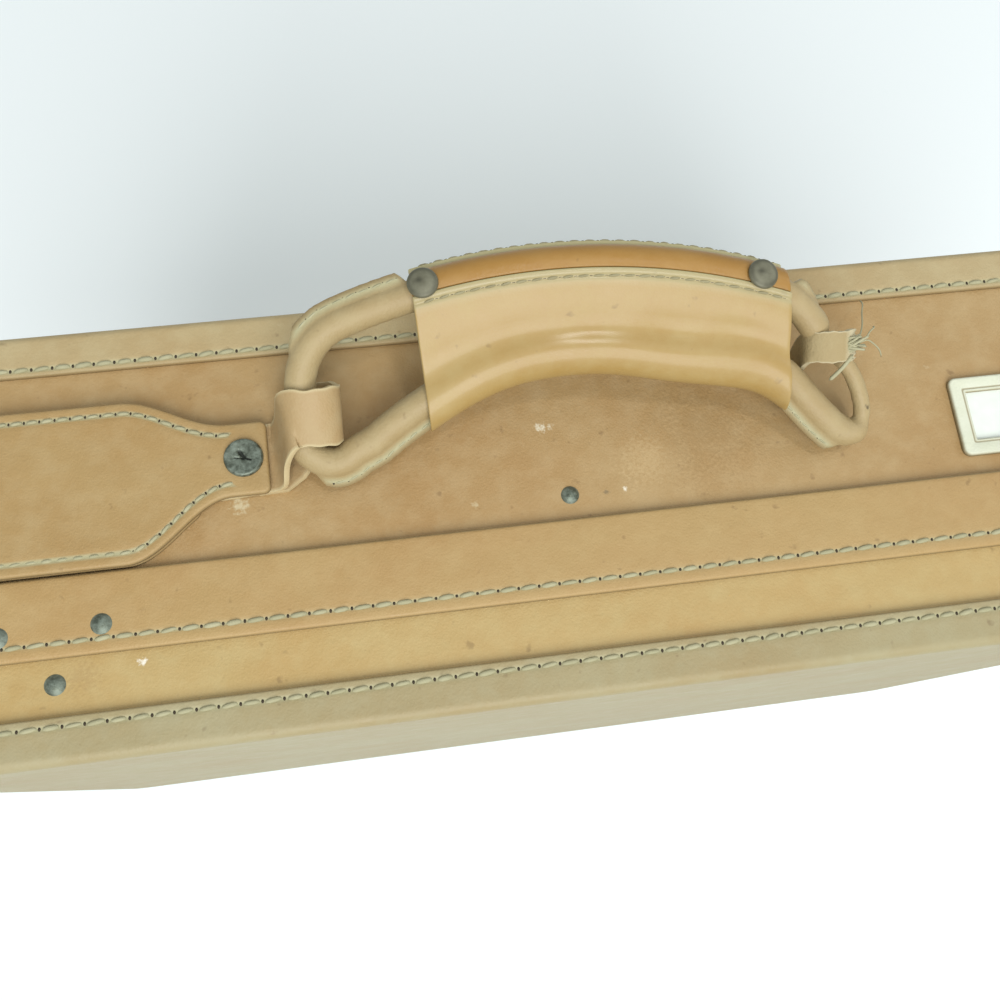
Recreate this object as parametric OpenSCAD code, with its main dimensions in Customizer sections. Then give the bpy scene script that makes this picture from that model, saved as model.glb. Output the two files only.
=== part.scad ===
// Hard leather briefcase standing on its hinge side: body, lid, valance, rolled leather ring handle,
// hinges and two concealed catches. Sizes are in millimetres.
// The origin is on the floor under the middle of the case. X runs along the handle, the lid faces -Y
// and Z is up.

/* [Case] */
// Length of the case along the handle, over the wall leather
case_w = 432; // [424:1:444]
// Height of the case from hinge side to handle side, over the wall leather
case_h = 325; // [300:1:345]
// Depth of the closed case, over both face leathers
case_d = 127; // [122:1:134]
// Radius of the four corners seen from the front
corner_r = 12; // [10:0.5:14]
// Place of the joint between body and lid, from the middle of the depth
parting_y = -21; // [-23:0.5:-19]

/* [Boards, leather and lining] */
// Thickness of the wall and face leathers
leather_t = 2; // [1.6:0.1:2.2]
// Thickness of the boards of the walls
board_t = 4; // [3.6:0.1:4.4]
// Thickness of the board of each face
face_board_t = 3; // [2.4:0.1:4]
// Thickness of the lining
lining_t = 0.8; // [0.6:0.1:1]
// Outside radius of the edge where a face leather folds over the walls
edge_r = 3; // [2.4:0.1:4]
// Width of the back leather that is folded over the walls
back_fold = 13.5; // [11:0.5:16]
// Width of the lid leather that is folded over the walls
lid_fold = 13.3; // [11:0.1:15]
// Distance from the joint back to the edge of the lining
lining_back = 1; // [0.5:0.1:2]

/* [Valance] */
// Width of the strip that covers the joint
valance_w = 23; // [20:0.5:25]
// Part of that width that lies over the body
valance_lap = 9.8; // [8:0.1:9.9]
// Thickness of the strip over the clearance
valance_t = 2.2; // [1.8:0.1:2.6]
// Height above the hinge side at which the strip ends
valance_end = 25; // [20:1:60]

/* [Feet] */
// Height of the feet below the wall leather
foot_h = 5; // [4.6:0.1:7]
// Radius of a foot
foot_r = 7; // [6:0.5:8]
// Distance of the feet from the ends of the case
foot_in = 26; // [21:1:46]
// Distance of the rear feet from the back of the case
foot_back_in = 21.5; // [20.5:0.5:29]
// Place of the front feet across the case
foot_front_y = -11; // [-11:0.5:-8]

/* [Handle ring] */
// Height of the swing axis above the top wall
pivot_h = 7; // [6.5:0.1:8]
// Place of the swing axis across the case
pivot_y = 8; // [5:0.5:10]
// Lean of the handle to the back as it rests
rest_tilt = 60; // [55:1:62]
// Turn of the swing axis away from the length of the case
swing_skew = 2.8; // [0:0.2:4]
// Half of the width of the ring, to the middle of the tube
ring_half = 81; // [80:0.5:82]
// Height of the upper limb at its middle
ring_top_u = 53; // [51:0.5:56]
// Radius of the upper limb
ring_top_r = 195; // [180:1:220]
// Height of the lower limb at its middle
ring_low_u = 31; // [30:0.5:32]
// Radius of the lower limb
ring_low_r = 95; // [94:0.5:98]
// Radius of the upper bends
bend_top_r = 18; // [16:0.5:20]
// Radius of the lower bends
bend_low_r = 8; // [7.5:0.1:8.5]
// Radius of the rolled leather tube
tube_r = 4.5; // [4.2:0.1:4.5]
// Radius of the rope core
core_r = 3; // [2.5:0.1:3.2]
// Width of the stitched flange outside the tube
flange_w = 3; // [2:0.1:3.2]
// Thickness of that flange
flange_t = 3; // [2:0.1:3.6]
// Extra radius of the tube in its bends, where the leather gathers
bend_swell = 0.05; // [0.05:0.01:0.1]

/* [Grip] */
// Outside radius of the grip round each limb
grip_r = 6.9; // [6.6:0.1:7.2]
// Thickness of the grip leather
grip_t = 2.3; // [2:0.1:2.4]
// Depth of the flat sides of the grip below its two bulges
grip_waist = 0.2; // [0.15:0.01:0.4]
// Left end of the grip above the upper limb
grip_left_top = -50; // [-54:0.5:-46]
// Left end of the grip below the lower limb
grip_left_low = -43; // [-46:0.5:-40]
// Right end of the grip above the upper limb
grip_right_top = 54.5; // [50:0.5:57]
// Right end of the grip below the lower limb
grip_right_low = 66.4; // [60:0.2:67]
// Angle of the strip's rear edge behind the crown of the upper limb
strip_back = 16; // [10:1:20]
// Angle of the strip's front edge before the crown of the upper limb
strip_front = 88; // [84:1:89]
// Depth of the strip's surface below the grip leather
strip_drop = 0.7; // [0.3:0.1:1.2]
// Angle of the grip's rivets before the crown of the upper limb
grip_rivet_turn = 64; // [60:1:66]
// Radius of the domed rivets of the grip
grip_rivet_r = 3.8; // [3.4:0.1:3.9]
// Distance of those rivets from the ends of the grip
grip_rivet_in = 5.8; // [5.6:0.1:8]

/* [Handle tab and chapes] */
// Distance of the broad tab from the left end of the case
tab_in = 37.6; // [37.5:0.1:44]
// Lower edge of the broad part of the tab
tab_low_y = -10.7; // [-10.8:0.1:-8]
// Upper edge of the broad part of the tab
tab_high_y = 38; // [34:0.5:42]
// Place where the tab starts to narrow
tab_bend_x = -134; // [-140:0.5:-130]
// Place where the neck starts
tab_neck_x = -103; // [-106:0.5:-102]
// Free end of the neck
tab_end_x = -92; // [-94:0.5:-91.5]
// Middle of the neck across the case
neck_y = 17.2; // [15:0.1:19]
// Width of the neck and of the chape under it
neck_w = 22; // [18:0.5:24]
// Thickness of the lower ply and of the chape's tail
tab_base_t = 2; // [1.6:0.1:2.4]
// Thickness of the upper ply
tab_top_t = 2.4; // [1.8:0.1:2.8]
// Length of the chape's tail under the neck
tail_len = 20.8; // [18:0.2:24]
// Width of the left chape's loop along the bar
left_loop_w = 14; // [11:0.5:14]
// Width of the right chape's loop along the bar
right_loop_w = 12; // [9:0.5:13]
// Thickness of the chape leather
chape_t = 1.8; // [1.4:0.1:2]
// Inner end of the right chape's tail
right_tail_x = 59; // [56:0.5:60]
// Place of the right chape's tail across the case
right_tail_y = 20; // [19:0.5:22]
// Place of the left chape rivet along the case
chape_rivet_x = -99; // [-101:0.5:-98]
// Radius of the left chape rivet's head
chape_rivet_r = 5.75; // [5:0.05:6.5]
// Radius of the right chape rivet's head
small_rivet_r = 3.2; // [2.6:0.1:3.6]

/* [Stud and label holder] */
// Place of the stud along the case
stud_x = -4.6; // [-10:0.2:10]
// Place of the stud across the case
stud_y = -3.5; // [-6:0.1:0]
// Radius of the stud's head
stud_r = 2.75; // [2.2:0.05:3.5]
// Distance of the label holder's inner end from the right end of the case
label_in = 96; // [95:0.5:104]
// Length of the label holder
label_l = 56; // [50:0.5:57]
// Lower edge of the label holder
label_y = -5.3; // [-7:0.1:-3]
// Width of the label holder
label_w = 25.6; // [22:0.1:28]
// Width of the holder's border
label_border = 5; // [4:0.1:6]
// Thickness of the holder
label_t = 1.8; // [1.4:0.1:2.4]
// Thickness of the card
card_t = 0.5; // [0.3:0.1:0.8]

/* [Hinges] */
// Distance of each hinge's middle from the ends of the case
hinge_in = 96; // [76:1:136]
// Length of a hinge along the case
hinge_l = 50; // [40:1:54]
// Width of one leaf
leaf_w = 16; // [14:0.5:17]
// Thickness of a leaf
leaf_t = 1.2; // [1:0.1:1.4]
// Radius of the knuckles
knuckle_r = 2.2; // [2.1:0.05:2.3]
// Radius of the hinge pin
pin_r = 1.25; // [1:0.05:1.3]

/* [Catches] */
// Distance of the keepers from the ends of the case
keeper_in = 60; // [59:0.5:61]
// Distance of the thumb slides from the ends of the case as the bolts rest
thumb_in = 19; // [18.5:0.1:19.5]
// Travel of a bolt
bolt_travel = 8; // [6:0.5:8]
// Thickness of a bolt
bolt_t = 3; // [2.4:0.1:3.2]
// Width of the bolt's nose
nose_w = 5; // [4:0.1:5.2]
// Length of the keeper plate along the case
keeper_l = 40; // [36:1:40]
// Width of the keeper plate
keeper_w = 24.5; // [22.6:0.1:25]
// Thickness of the keeper plate
keeper_t = 1.2; // [1:0.1:1.4]
// Distance of the outer keeper rivet from the keeper's middle, along the case
keeper_outer_x = 13.6; // [12:0.1:16]
// Distance of that rivet from the joint
keeper_outer_y = 6; // [4.6:0.1:7]
// Distance of the inner keeper rivet from the keeper's middle, along the case
keeper_inner_x = 14.5; // [12:0.1:16]
// Distance of that rivet from the joint
keeper_inner_y = 5.2; // [4.6:0.1:7]
// Offset of the front keeper rivet from the keeper's middle, along the case
keeper_front_x = 0.8; // [0:0.1:3]
// Distance of that rivet from the joint
keeper_front_y = 20.3; // [19:0.1:21]
// Radius of the keeper rivets' heads
keeper_rivet_r = 3; // [2.4:0.1:3.4]
// Thickness of the outer plate round a thumb slide
catch_plate_t = 1.2; // [0.8:0.1:1.4]

/* [Clearances] */
// Gap between parts that pass each other without touching
pass_gap = 0.3; // [0.3:0.05:0.4]
// Radial clearance of the hinge pins in the lid's knuckles
pin_fit = 0.05; // [0.03:0.01:0.08]
// Radial clearance of rivets in their holes
rivet_fit = 0.1; // [0.05:0.01:0.2]
// Radial clearance of the chape loops round the ring
chape_fit = 0.3; // [0.3:0.05:0.4]
// Clearance of the grip round the ring
grip_fit = 0.1; // [0.05:0.01:0.2]

/* [Hidden] */
top_z = foot_h + case_h;
foot_x = case_w / 2 - foot_in;
tab_left_x = tab_in - case_w / 2;
label_x = case_w / 2 - label_in;
hinge_x = case_w / 2 - hinge_in;
keeper_x = case_w / 2 - keeper_in;
thumb_x = case_w / 2 - thumb_in;
mid_z = foot_h + case_h / 2;
back_y = case_d / 2;
front_y = -case_d / 2;
body_depth = back_y - parting_y;
lid_depth = parting_y - front_y;
foot_back_y = back_y - foot_back_in;
face_in = leather_t + face_board_t;
wall_in = leather_t + board_t;
floor_top = foot_h + wall_in;
ceiling = top_z - wall_in;
cut = 1;

top_c = ring_top_u - ring_top_r;
low_c = ring_low_u - ring_low_r;
top_bend_u = top_c + sqrt(pow(ring_top_r - bend_top_r, 2) - pow(ring_half - bend_top_r, 2));
low_bend_u = low_c + sqrt(pow(ring_low_r + bend_low_r, 2) - pow(ring_half - bend_low_r, 2));
low_bend_x = ring_half - bend_low_r;
top_sweep = asin((ring_half - bend_top_r) / (ring_top_r - bend_top_r));
low_sweep = asin((ring_half - bend_low_r) / (ring_low_r + bend_low_r));
bar_mid_u = (top_bend_u + low_bend_u) / 2;
grip_in_r = grip_r - grip_t;
grip_high_u = ring_top_u + 17;
grip_low_u = -5;
loop_r = tube_r + chape_fit;
loop_out_r = loop_r + chape_t;
loop_in = loop_r + chape_t / 2;
joint_lap = 0.5;
flange_gap = 1.8;

hinge_z = foot_h - knuckle_r - pass_gap;
knuckle_l = hinge_l / 5;
leaf_rivet_y = 0.55 * leaf_w;
leaf_rivets = [-0.34, 0, 0.34];

shank_r = 1.2;
tail_r = 2.2;
tail_over = 0.3;
big_shank_r = 2;
big_tail_r = 4;
foot_dome_r = (foot_r * foot_r + foot_h * foot_h) / (2 * foot_h);
foot_flat = 0.15;

keeper_half = keeper_l / 2;
keeper_gap = 0.5;
arm_half = 4;
arm_top = ceiling - 0.6;
arm_t = 1.6;
tooth_back_y = parting_y + 13;
tooth_t = 2;
nose_back_y = tooth_back_y - tooth_t - cut;
bolt_top = arm_top - arm_t - 2 * pass_gap;
bolt_low = bolt_top - bolt_t;
nose_end = keeper_x + arm_half + 4;
bolt_end = thumb_x + 9;
bolt_wide_y = nose_back_y + 13;
stem_half = 2.5;
stem_y = nose_back_y + 10;
slot_high = thumb_x + stem_half + cut;
slot_low = thumb_x - bolt_travel - stem_half - cut;
plate_high = slot_high + 4;
plate_low = slot_low - 5;
guide_end = slot_low - 10;
guide_block = plate_low + 0.5 - guide_end;
guide_far = case_w / 2 - corner_r;
plate_shank_r = 1;
plate_head_r = 1.4;
thumb_r = 3.7;
guide_wall = 1.5;

// Rivets and pins through the top wall of the body: place, shank radius, inner head radius
body_top_pins = concat(
    [[chape_rivet_x, neck_y, big_shank_r, big_tail_r],
     [right_tail_x + 7, right_tail_y, shank_r, tail_r],
     [stud_x, stud_y, shank_r, tail_r]]);
// Rivets of the outer plates, through the guides
plate_pins = [
    [plate_high - 2.1, stem_y, plate_shank_r],
    [plate_low + 2.4, stem_y, plate_shank_r]];
// Rivets through the hinge side of the body
body_low_pins = concat(
    [for (s = [-1, 1], t = leaf_rivets)
        [s * hinge_x + t * hinge_l, parting_y + leaf_rivet_y, shank_r, tail_r]],
    [for (s = [-1, 1], y = [foot_back_y, foot_front_y])
        [s * foot_x, y, shank_r, tail_r]]);
// Rivets of the keepers, the first two go through the valance
keeper_pins = [
    [keeper_x + keeper_outer_x, parting_y - keeper_outer_y],
    [keeper_x - keeper_inner_x, parting_y - keeper_inner_y],
    [keeper_x - keeper_front_x, parting_y - keeper_front_y]];
// Rivets through the hinge side of the lid
lid_low_pins = [for (s = [-1, 1], t = leaf_rivets)
    [s * hinge_x + t * hinge_l, parting_y - leaf_rivet_y, shank_r, tail_r]];

// Outline of the case from the front, grown by p
module case_outline(p) {
    w = case_w / 2 + p;
    h = case_h / 2 + p;
    r = corner_r + p;
    square([2 * (w - r), 2 * h], center = true);
    square([2 * w, 2 * (h - r)], center = true);
    for (sx = [-1, 1], sz = [-1, 1])
        translate([sx * (w - r), sz * (h - r)])
            circle(r = r, $fn = 96);
}

// Plate of that outline from depth q0 to q1
module plate(p, q0, q1) {
    translate([0, 0, q0])
        linear_extrude(height = q1 - q0)
            case_outline(p);
}

// Wall between two outlines from depth q0 to q1
module wall(p_in, p_out, q0, q1) {
    translate([0, 0, q0])
        linear_extrude(height = q1 - q0)
            difference() {
                case_outline(p_out);
                case_outline(p_in);
            }
}

// Sweep of a profile round the outline grown by p
module around(p) {
    lx = case_w / 2 - corner_r;
    lz = case_h / 2 - corner_r;
    r = corner_r + p;
    for (s = [0, 1]) {
        mirror([s, 0, 0])
            translate([lx + r, lz, 0])
                rotate([90, 0, 0])
                    linear_extrude(height = 2 * lz)
                        children();
        mirror([0, s, 0])
            rotate([0, 0, 90])
                translate([lz + r, lx, 0])
                    rotate([90, 0, 0])
                        linear_extrude(height = 2 * lx)
                            children();
        for (t = [0, 1])
            mirror([s, 0, 0])
                mirror([0, t, 0])
                    translate([lx, lz, 0])
                        rotate_extrude(angle = 90, $fn = 96)
                            translate([r, 0])
                                children();
    }
}

// Depth measured from the back face
module from_back() {
    translate([0, back_y, mid_z])
        rotate([90, 0, 0])
            children();
}

// Depth measured from the lid's face
module from_front() {
    translate([0, front_y, mid_z])
        mirror([0, 1, 0])
            rotate([90, 0, 0])
                children();
}

// Face board with the four walls
module boards(depth) {
    plate(leather_t - edge_r, leather_t, face_in);
    wall(leather_t - edge_r - cut, 0, edge_r, face_in);
    wall(-wall_in, -leather_t, leather_t, depth);
}

// Leather of a face, folded over the walls
module folded_leather(fold) {
    plate(leather_t - edge_r, 0, leather_t);
    wall(0, leather_t, edge_r, fold);
    around(leather_t - edge_r)
        intersection() {
            translate([0, edge_r])
                circle(r = edge_r, $fn = 64);
            square([edge_r, edge_r]);
        }
}

// Lining of a face and its walls
module lining(depth) {
    plate(-wall_in, face_in, face_in + lining_t);
    wall(-wall_in - lining_t, -wall_in, face_in, depth - lining_back);
}

// Both ends of the case
module both() {
    children();
    mirror([1, 0, 0])
        children();
}

// Cap of a sphere on z = 0
module dome(r, h) {
    rs = (r * r + h * h) / (2 * h);
    intersection() {
        translate([0, 0, h - rs])
            sphere(r = rs, $fn = 64);
        cylinder(r = r, h = h, $fn = 64);
    }
}

// Rivet with its domed head up at z = 0 and its inner head below
module rivet(r, h, len, shank, tail, tail_h) {
    dome(r, h);
    translate([0, 0, -len])
        cylinder(r = shank, h = len + h / 4, $fn = 32);
    translate([0, 0, -len])
        cylinder(r = tail, h = tail_h, $fn = 48);
}

// Holes for a list of pins, by shank or by inner head
module holes(pins, which, grow, z0, z1) {
    for (p = pins)
        translate([p[0], p[1], z0])
            cylinder(r = p[which] + grow, h = z1 - z0, $fn = 48);
}

// Openings in the body's top wall for the thumb slides and their plates' rivets
module catch_holes(z0, z1) {
    both() {
        translate([slot_low, stem_y - stem_half - 0.5, z0])
            cube([slot_high - slot_low, 2 * stem_half + 1, z1 - z0]);
        holes(plate_pins, 2, rivet_fit, z0, z1);
    }
}

// Holes for the keeper rivets
module keeper_holes(z0, z1) {
    both()
        for (p = keeper_pins)
            translate([p[0], p[1], z0])
                cylinder(r = shank_r + rivet_fit, h = z1 - z0, $fn = 48);
}

// Handle drawn flat, x along the swing axis and y up the handle, brought to its resting place
module handle_rest() {
    translate([0, pivot_y, top_z + pivot_h])
        rotate([0, 0, -swing_skew])
            rotate([90 - rest_tilt, 0, 0])
                children();
}

// Sweep along the upper limb between two angles
module top_limb(from, to) {
    translate([0, top_c, 0])
        rotate([0, 0, 90 - to])
            rotate_extrude(angle = to - from, $fn = 180)
                translate([ring_top_r, 0])
                    children();
}

// Sweep along the lower limb between two angles, the profile's x side turned out of the ring
module low_limb(from, to) {
    translate([0, low_c, 0])
        rotate([0, 0, 90 - to])
            rotate_extrude(angle = to - from, $fn = 180)
                translate([ring_low_r, 0])
                    mirror([1, 0])
                        children();
}

// Sweep along the whole upper limb and a little into its bends
module whole_top_limb() {
    lap = joint_lap / ring_top_r * 180 / PI;
    top_limb(-top_sweep - lap, top_sweep + lap)
        children();
}

// Sweep along the whole lower limb and a little into its bends
module whole_low_limb() {
    lap = joint_lap / ring_low_r * 180 / PI;
    low_limb(-low_sweep - lap, low_sweep + lap)
        children();
}

// Sweep along both upper bends
module top_bends() {
    both()
        translate([ring_half - bend_top_r, top_bend_u, 0])
            rotate_extrude(angle = 90 - top_sweep, $fn = 96)
                translate([bend_top_r, 0])
                    children();
}

// Sweep along both lower bends
module low_bends() {
    both()
        translate([low_bend_x, low_bend_u, 0])
            rotate([0, 0, -90 - low_sweep])
                rotate_extrude(angle = 90 + low_sweep, $fn = 96)
                    translate([bend_low_r, 0])
                        children();
}

// Both upright bars and a little more into the bends
module bars(r) {
    both()
        translate([ring_half, top_bend_u + joint_lap, 0])
            rotate([90, 0, 0])
                cylinder(r = r, h = top_bend_u - low_bend_u + 2 * joint_lap, $fn = 64);
}

// Closed round bar along the whole ring
module ring_bar(r) {
    whole_top_limb()
        circle(r = r, $fn = 64);
    whole_low_limb()
        circle(r = r, $fn = 64);
    bars(r);
    top_bends()
        circle(r = r + bend_swell, $fn = 64);
    low_bends()
        circle(r = r + bend_swell, $fn = 64);
}

// Section of the flange, grown by g
module flange_section(g) {
    translate([tube_r - 0.8, -flange_t / 2 - g])
        square([flange_w + 0.8 + g, flange_t + 2 * g]);
}

// Area of the grip seen from the front, kept in by d at both ends
module grip_area(d) {
    polygon([
        [grip_left_top + d, grip_high_u],
        [grip_left_low + d, grip_low_u],
        [grip_right_low - d, grip_low_u],
        [grip_right_top - d, grip_high_u]]);
}

// Area between the middles of the two limbs, kept in by d
module between_limbs(d) {
    difference() {
        translate([0, top_c])
            circle(r = ring_top_r - d, $fn = 180);
        translate([0, low_c])
            circle(r = ring_low_r + d, $fn = 180);
    }
}

// Solid round both limbs, with flat sides between them
module grip_body(r) {
    top_limb(-top_sweep - 3, top_sweep + 3)
        circle(r = r, $fn = 64);
    low_limb(-low_sweep, low_sweep + 5)
        circle(r = r, $fn = 64);
    linear_extrude(height = 2 * (r - grip_waist), center = true)
        intersection() {
            between_limbs(0);
            translate([-ring_half, grip_low_u])
                square([2 * ring_half, grip_high_u - grip_low_u]);
        }
}

// Sector of the upper limb that holds the strip, between two radii
module strip_sector(r0, r1) {
    intersection() {
        difference() {
            circle(r = r1, $fn = 96);
            circle(r = r0, $fn = 96);
        }
        polygon([
            [0, 0],
            [3 * grip_r * cos(strip_back), -3 * grip_r * sin(strip_back)],
            [4 * grip_r, 0],
            [3 * grip_r * cos(strip_front), 3 * grip_r * sin(strip_front)]]);
    }
}

// Pointed end of the flange at a lower bend
module flange_tip() {
    out = low_c + (ring_low_r - tube_r - flange_w) * cos(low_sweep - 1);
    both()
        translate([0, 0, -flange_t / 2])
            linear_extrude(height = flange_t)
                polygon([
                    [(ring_low_r - tube_r - flange_w) * sin(low_sweep - 1), out],
                    [low_bend_x, low_bend_u - bend_low_r - tube_r - 2],
                    [low_bend_x + (bend_low_r + tube_r - 0.3) * sin(25),
                     low_bend_u - (bend_low_r + tube_r - 0.3) * cos(25)],
                    [low_bend_x + (bend_low_r + tube_r - 0.9) * sin(10),
                     low_bend_u - (bend_low_r + tube_r - 0.9) * cos(10)],
                    [(ring_low_r - tube_r + 0.8) * sin(low_sweep),
                     low_c + (ring_low_r - tube_r + 0.8) * cos(low_sweep)]]);
}

// Outline of the broad tab that narrows to the neck
module tab_outline() {
    n = 24;
    high = [for (i = [0 : n])
        [tab_bend_x + (tab_neck_x - tab_bend_x) * i / n,
         tab_high_y + (neck_y + neck_w / 2 - tab_high_y) * (1 - cos(180 * i / n)) / 2]];
    low = [for (i = [n : -1 : 0])
        [tab_bend_x + (tab_neck_x - tab_bend_x) * i / n,
         tab_low_y + (neck_y - neck_w / 2 - tab_low_y) * (1 - cos(180 * i / n)) / 2]];
    polygon(concat(
        [[tab_left_x, tab_low_y + 3], [tab_left_x, tab_high_y - 3], [tab_left_x + 3, tab_high_y]],
        high,
        [[tab_end_x - 2, neck_y + neck_w / 2], [tab_end_x, neck_y + neck_w / 2 - 2],
         [tab_end_x, neck_y - neck_w / 2 + 2], [tab_end_x - 2, neck_y - neck_w / 2]],
        low,
        [[tab_left_x + 3, tab_low_y]]));
}

// Hinge leaf with its knuckles, the leaf on the +Y side
module hinge_leaf(first, bore) {
    own = [for (i = [first : 2 : 4]) i];
    other = [for (i = [1 - first : 2 : 4]) i];
    difference() {
        union() {
            translate([-hinge_l / 2, 0, foot_h - leaf_t - hinge_z])
                cube([hinge_l, leaf_w, leaf_t]);
            for (i = own)
                translate([(i - 2.5) * knuckle_l + pass_gap / 2, 0, 0])
                    rotate([0, 90, 0])
                        cylinder(r = knuckle_r, h = knuckle_l - pass_gap, $fn = 48);
        }
        for (i = other)
            translate([(i - 2.5) * knuckle_l - pass_gap / 2, -cut, 0])
                cube([knuckle_l + pass_gap, cut + knuckle_r + pass_gap, 2 * knuckle_r]);
        translate([-hinge_l, 0, 0])
            rotate([0, 90, 0])
                cylinder(r = bore, h = 2 * hinge_l, $fn = 48);
        for (t = leaf_rivets)
            translate([t * hinge_l, leaf_rivet_y, 0])
                cylinder(r = shank_r + rivet_fit, h = 4 * knuckle_r, $fn = 32);
    }
}

// Hinge pin on its axis
module hinge_pin() {
    translate([-hinge_l / 2 + pass_gap / 2, parting_y, hinge_z])
        rotate([0, 90, 0])
            cylinder(r = pin_r, h = hinge_l - pass_gap, $fn = 48);
}

// Rivet of a hinge leaf, from below
module leaf_rivet() {
    mirror([0, 0, 1])
        rivet(1.9, 0.6, leaf_t + wall_in + lining_t, shank_r, tail_r, lining_t);
}

module body_shell() {
    color("peru")
        difference() {
            from_back()
                boards(body_depth);
            holes(body_top_pins, 2, rivet_fit, ceiling - cut, top_z);
            holes(body_low_pins, 2, rivet_fit, foot_h, floor_top + cut);
            catch_holes(ceiling - cut, top_z);
        }
}

module body_lining() {
    color("wheat")
        difference() {
            from_back()
                lining(body_depth);
            holes(body_top_pins, 3, tail_over, ceiling - lining_t - cut, ceiling + cut);
            holes(body_low_pins, 3, tail_over, floor_top - cut, floor_top + lining_t + cut);
            both() {
                translate([guide_end - 0.5, parting_y, ceiling - lining_t - cut])
                    cube([bolt_end - guide_end + 2, bolt_wide_y - parting_y + 2.5, lining_t + 2 * cut]);
                translate([keeper_x - arm_half - cut, parting_y, ceiling - lining_t - cut])
                    cube([2 * arm_half + 2 * cut, tooth_back_y - parting_y + cut, lining_t + 2 * cut]);
            }
        }
}

module body_wall_leather() {
    color("burlywood")
        difference() {
            from_back()
                wall(-leather_t, 0, face_in, body_depth);
            holes(body_top_pins, 2, rivet_fit, top_z - leather_t - cut, top_z + cut);
            holes(body_low_pins, 2, rivet_fit, foot_h - cut, foot_h + leather_t + cut);
            catch_holes(top_z - leather_t - cut, top_z + cut);
        }
}

module back_leather() {
    color("tan")
        from_back()
            folded_leather(back_fold);
}

module handle_tab_base() {
    color("sienna")
        translate([0, 0, top_z])
            linear_extrude(height = tab_base_t)
                intersection() {
                    tab_outline();
                    translate([tab_left_x - cut, tab_low_y - cut])
                        square([tab_end_x - tail_len - 0.2 - tab_left_x + cut,
                                tab_high_y - tab_low_y + 2 * cut]);
                }
}

module handle_tab() {
    color("peru")
        difference() {
            translate([0, 0, top_z + tab_base_t])
                linear_extrude(height = tab_top_t)
                    tab_outline();
            translate([chape_rivet_x, neck_y, top_z])
                cylinder(r = big_shank_r + rivet_fit, h = 10, $fn = 48);
        }
}

// Place of a point of the resting handle, x and u in its plane and n before it
function rest_point(x, u, n) =
    let (a = 90 - rest_tilt, y = u * cos(a) - n * sin(a), z = u * sin(a) + n * cos(a))
    [x * cos(swing_skew) + y * sin(swing_skew),
     pivot_y - x * sin(swing_skew) + y * cos(swing_skew),
     top_z + pivot_h + z];

// Flat strap from one point to another, its width turned up by roll
module strap(start, end, w0, w1, roll, t) {
    d = end - start;
    a = d[1] * cos(roll) + d[2] * sin(roll);
    b = sqrt(d * d - a * a);
    rise = acos(d[0] / b);
    translate(start)
        rotate([roll, 0, 0])
            rotate([0, -rise, 0])
                linear_extrude(height = t)
                    polygon([[0, -w0 / 2], [0, w0 / 2], [b, a + w1 / 2], [b, a - w1 / 2]]);
}

// Solid or bore of a chape's loop round the bar on one side
module chape_round(side, r, w) {
    handle_rest()
        translate([side * ring_half, bar_mid_u + w / 2, 0])
            rotate([90, 0, 0])
                cylinder(r = r, h = w, $fn = 64);
}

module left_chape() {
    color("chocolate")
        difference() {
            union() {
                translate([tab_end_x - tail_len, neck_y - neck_w / 2 + 0.5, top_z])
                    cube([tail_len + 2.5, neck_w - 1, tab_base_t]);
                chape_round(-1, loop_out_r, left_loop_w);
                strap([tab_end_x + chape_t, neck_y, top_z + 0.2],
                      rest_point(-ring_half - 0.6 * loop_in, bar_mid_u, -0.8 * loop_in),
                      neck_w - 2, left_loop_w, 12, chape_t);
            }
            chape_round(-1, loop_r, 3 * left_loop_w);
            translate([tab_end_x - tail_len - cut, neck_y - neck_w, top_z - neck_w])
                cube([2 * tail_len, 2 * neck_w, neck_w]);
            translate([tab_end_x - tail_len - cut, neck_y - neck_w, top_z + tab_base_t])
                cube([tail_len + cut + pass_gap, 2 * neck_w, neck_w]);
            translate([chape_rivet_x, neck_y, top_z - cut])
                cylinder(r = big_shank_r + rivet_fit, h = 8, $fn = 48);
        }
}

module left_chape_rivet() {
    color("darkseagreen")
        translate([chape_rivet_x, neck_y, top_z + tab_base_t + tab_top_t])
            rivet(chape_rivet_r, 1.4, tab_base_t + tab_top_t + wall_in + lining_t,
                  big_shank_r, big_tail_r, lining_t);
}

module right_chape() {
    tail_w = right_loop_w + 2;
    color("rosybrown")
        difference() {
            union() {
                translate([right_tail_x, right_tail_y - tail_w / 2, top_z])
                    cube([16.5, tail_w, chape_t]);
                chape_round(1, loop_out_r, right_loop_w);
                strap([right_tail_x + 14.5, right_tail_y, top_z + 0.2],
                      rest_point(ring_half - 0.6 * loop_in, bar_mid_u, -0.8 * loop_in),
                      tail_w - 1, right_loop_w, 12, chape_t);
            }
            chape_round(1, loop_r, 3 * right_loop_w);
            translate([right_tail_x - cut, right_tail_y - tail_w, top_z - tail_w])
                cube([3 * tail_w, 2 * tail_w, tail_w]);
            translate([right_tail_x + 7, right_tail_y, top_z - cut])
                cylinder(r = shank_r + rivet_fit, h = 6, $fn = 48);
        }
}

module right_chape_rivet() {
    color("darkseagreen")
        translate([right_tail_x + 7, right_tail_y, top_z + chape_t])
            rivet(small_rivet_r, 1.1, chape_t + wall_in + lining_t, shank_r, tail_r, lining_t);
}

module wall_stud() {
    color("darkseagreen")
        translate([stud_x, stud_y, top_z])
            rivet(stud_r, 1.4, wall_in + lining_t, shank_r, tail_r, lining_t);
}

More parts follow.
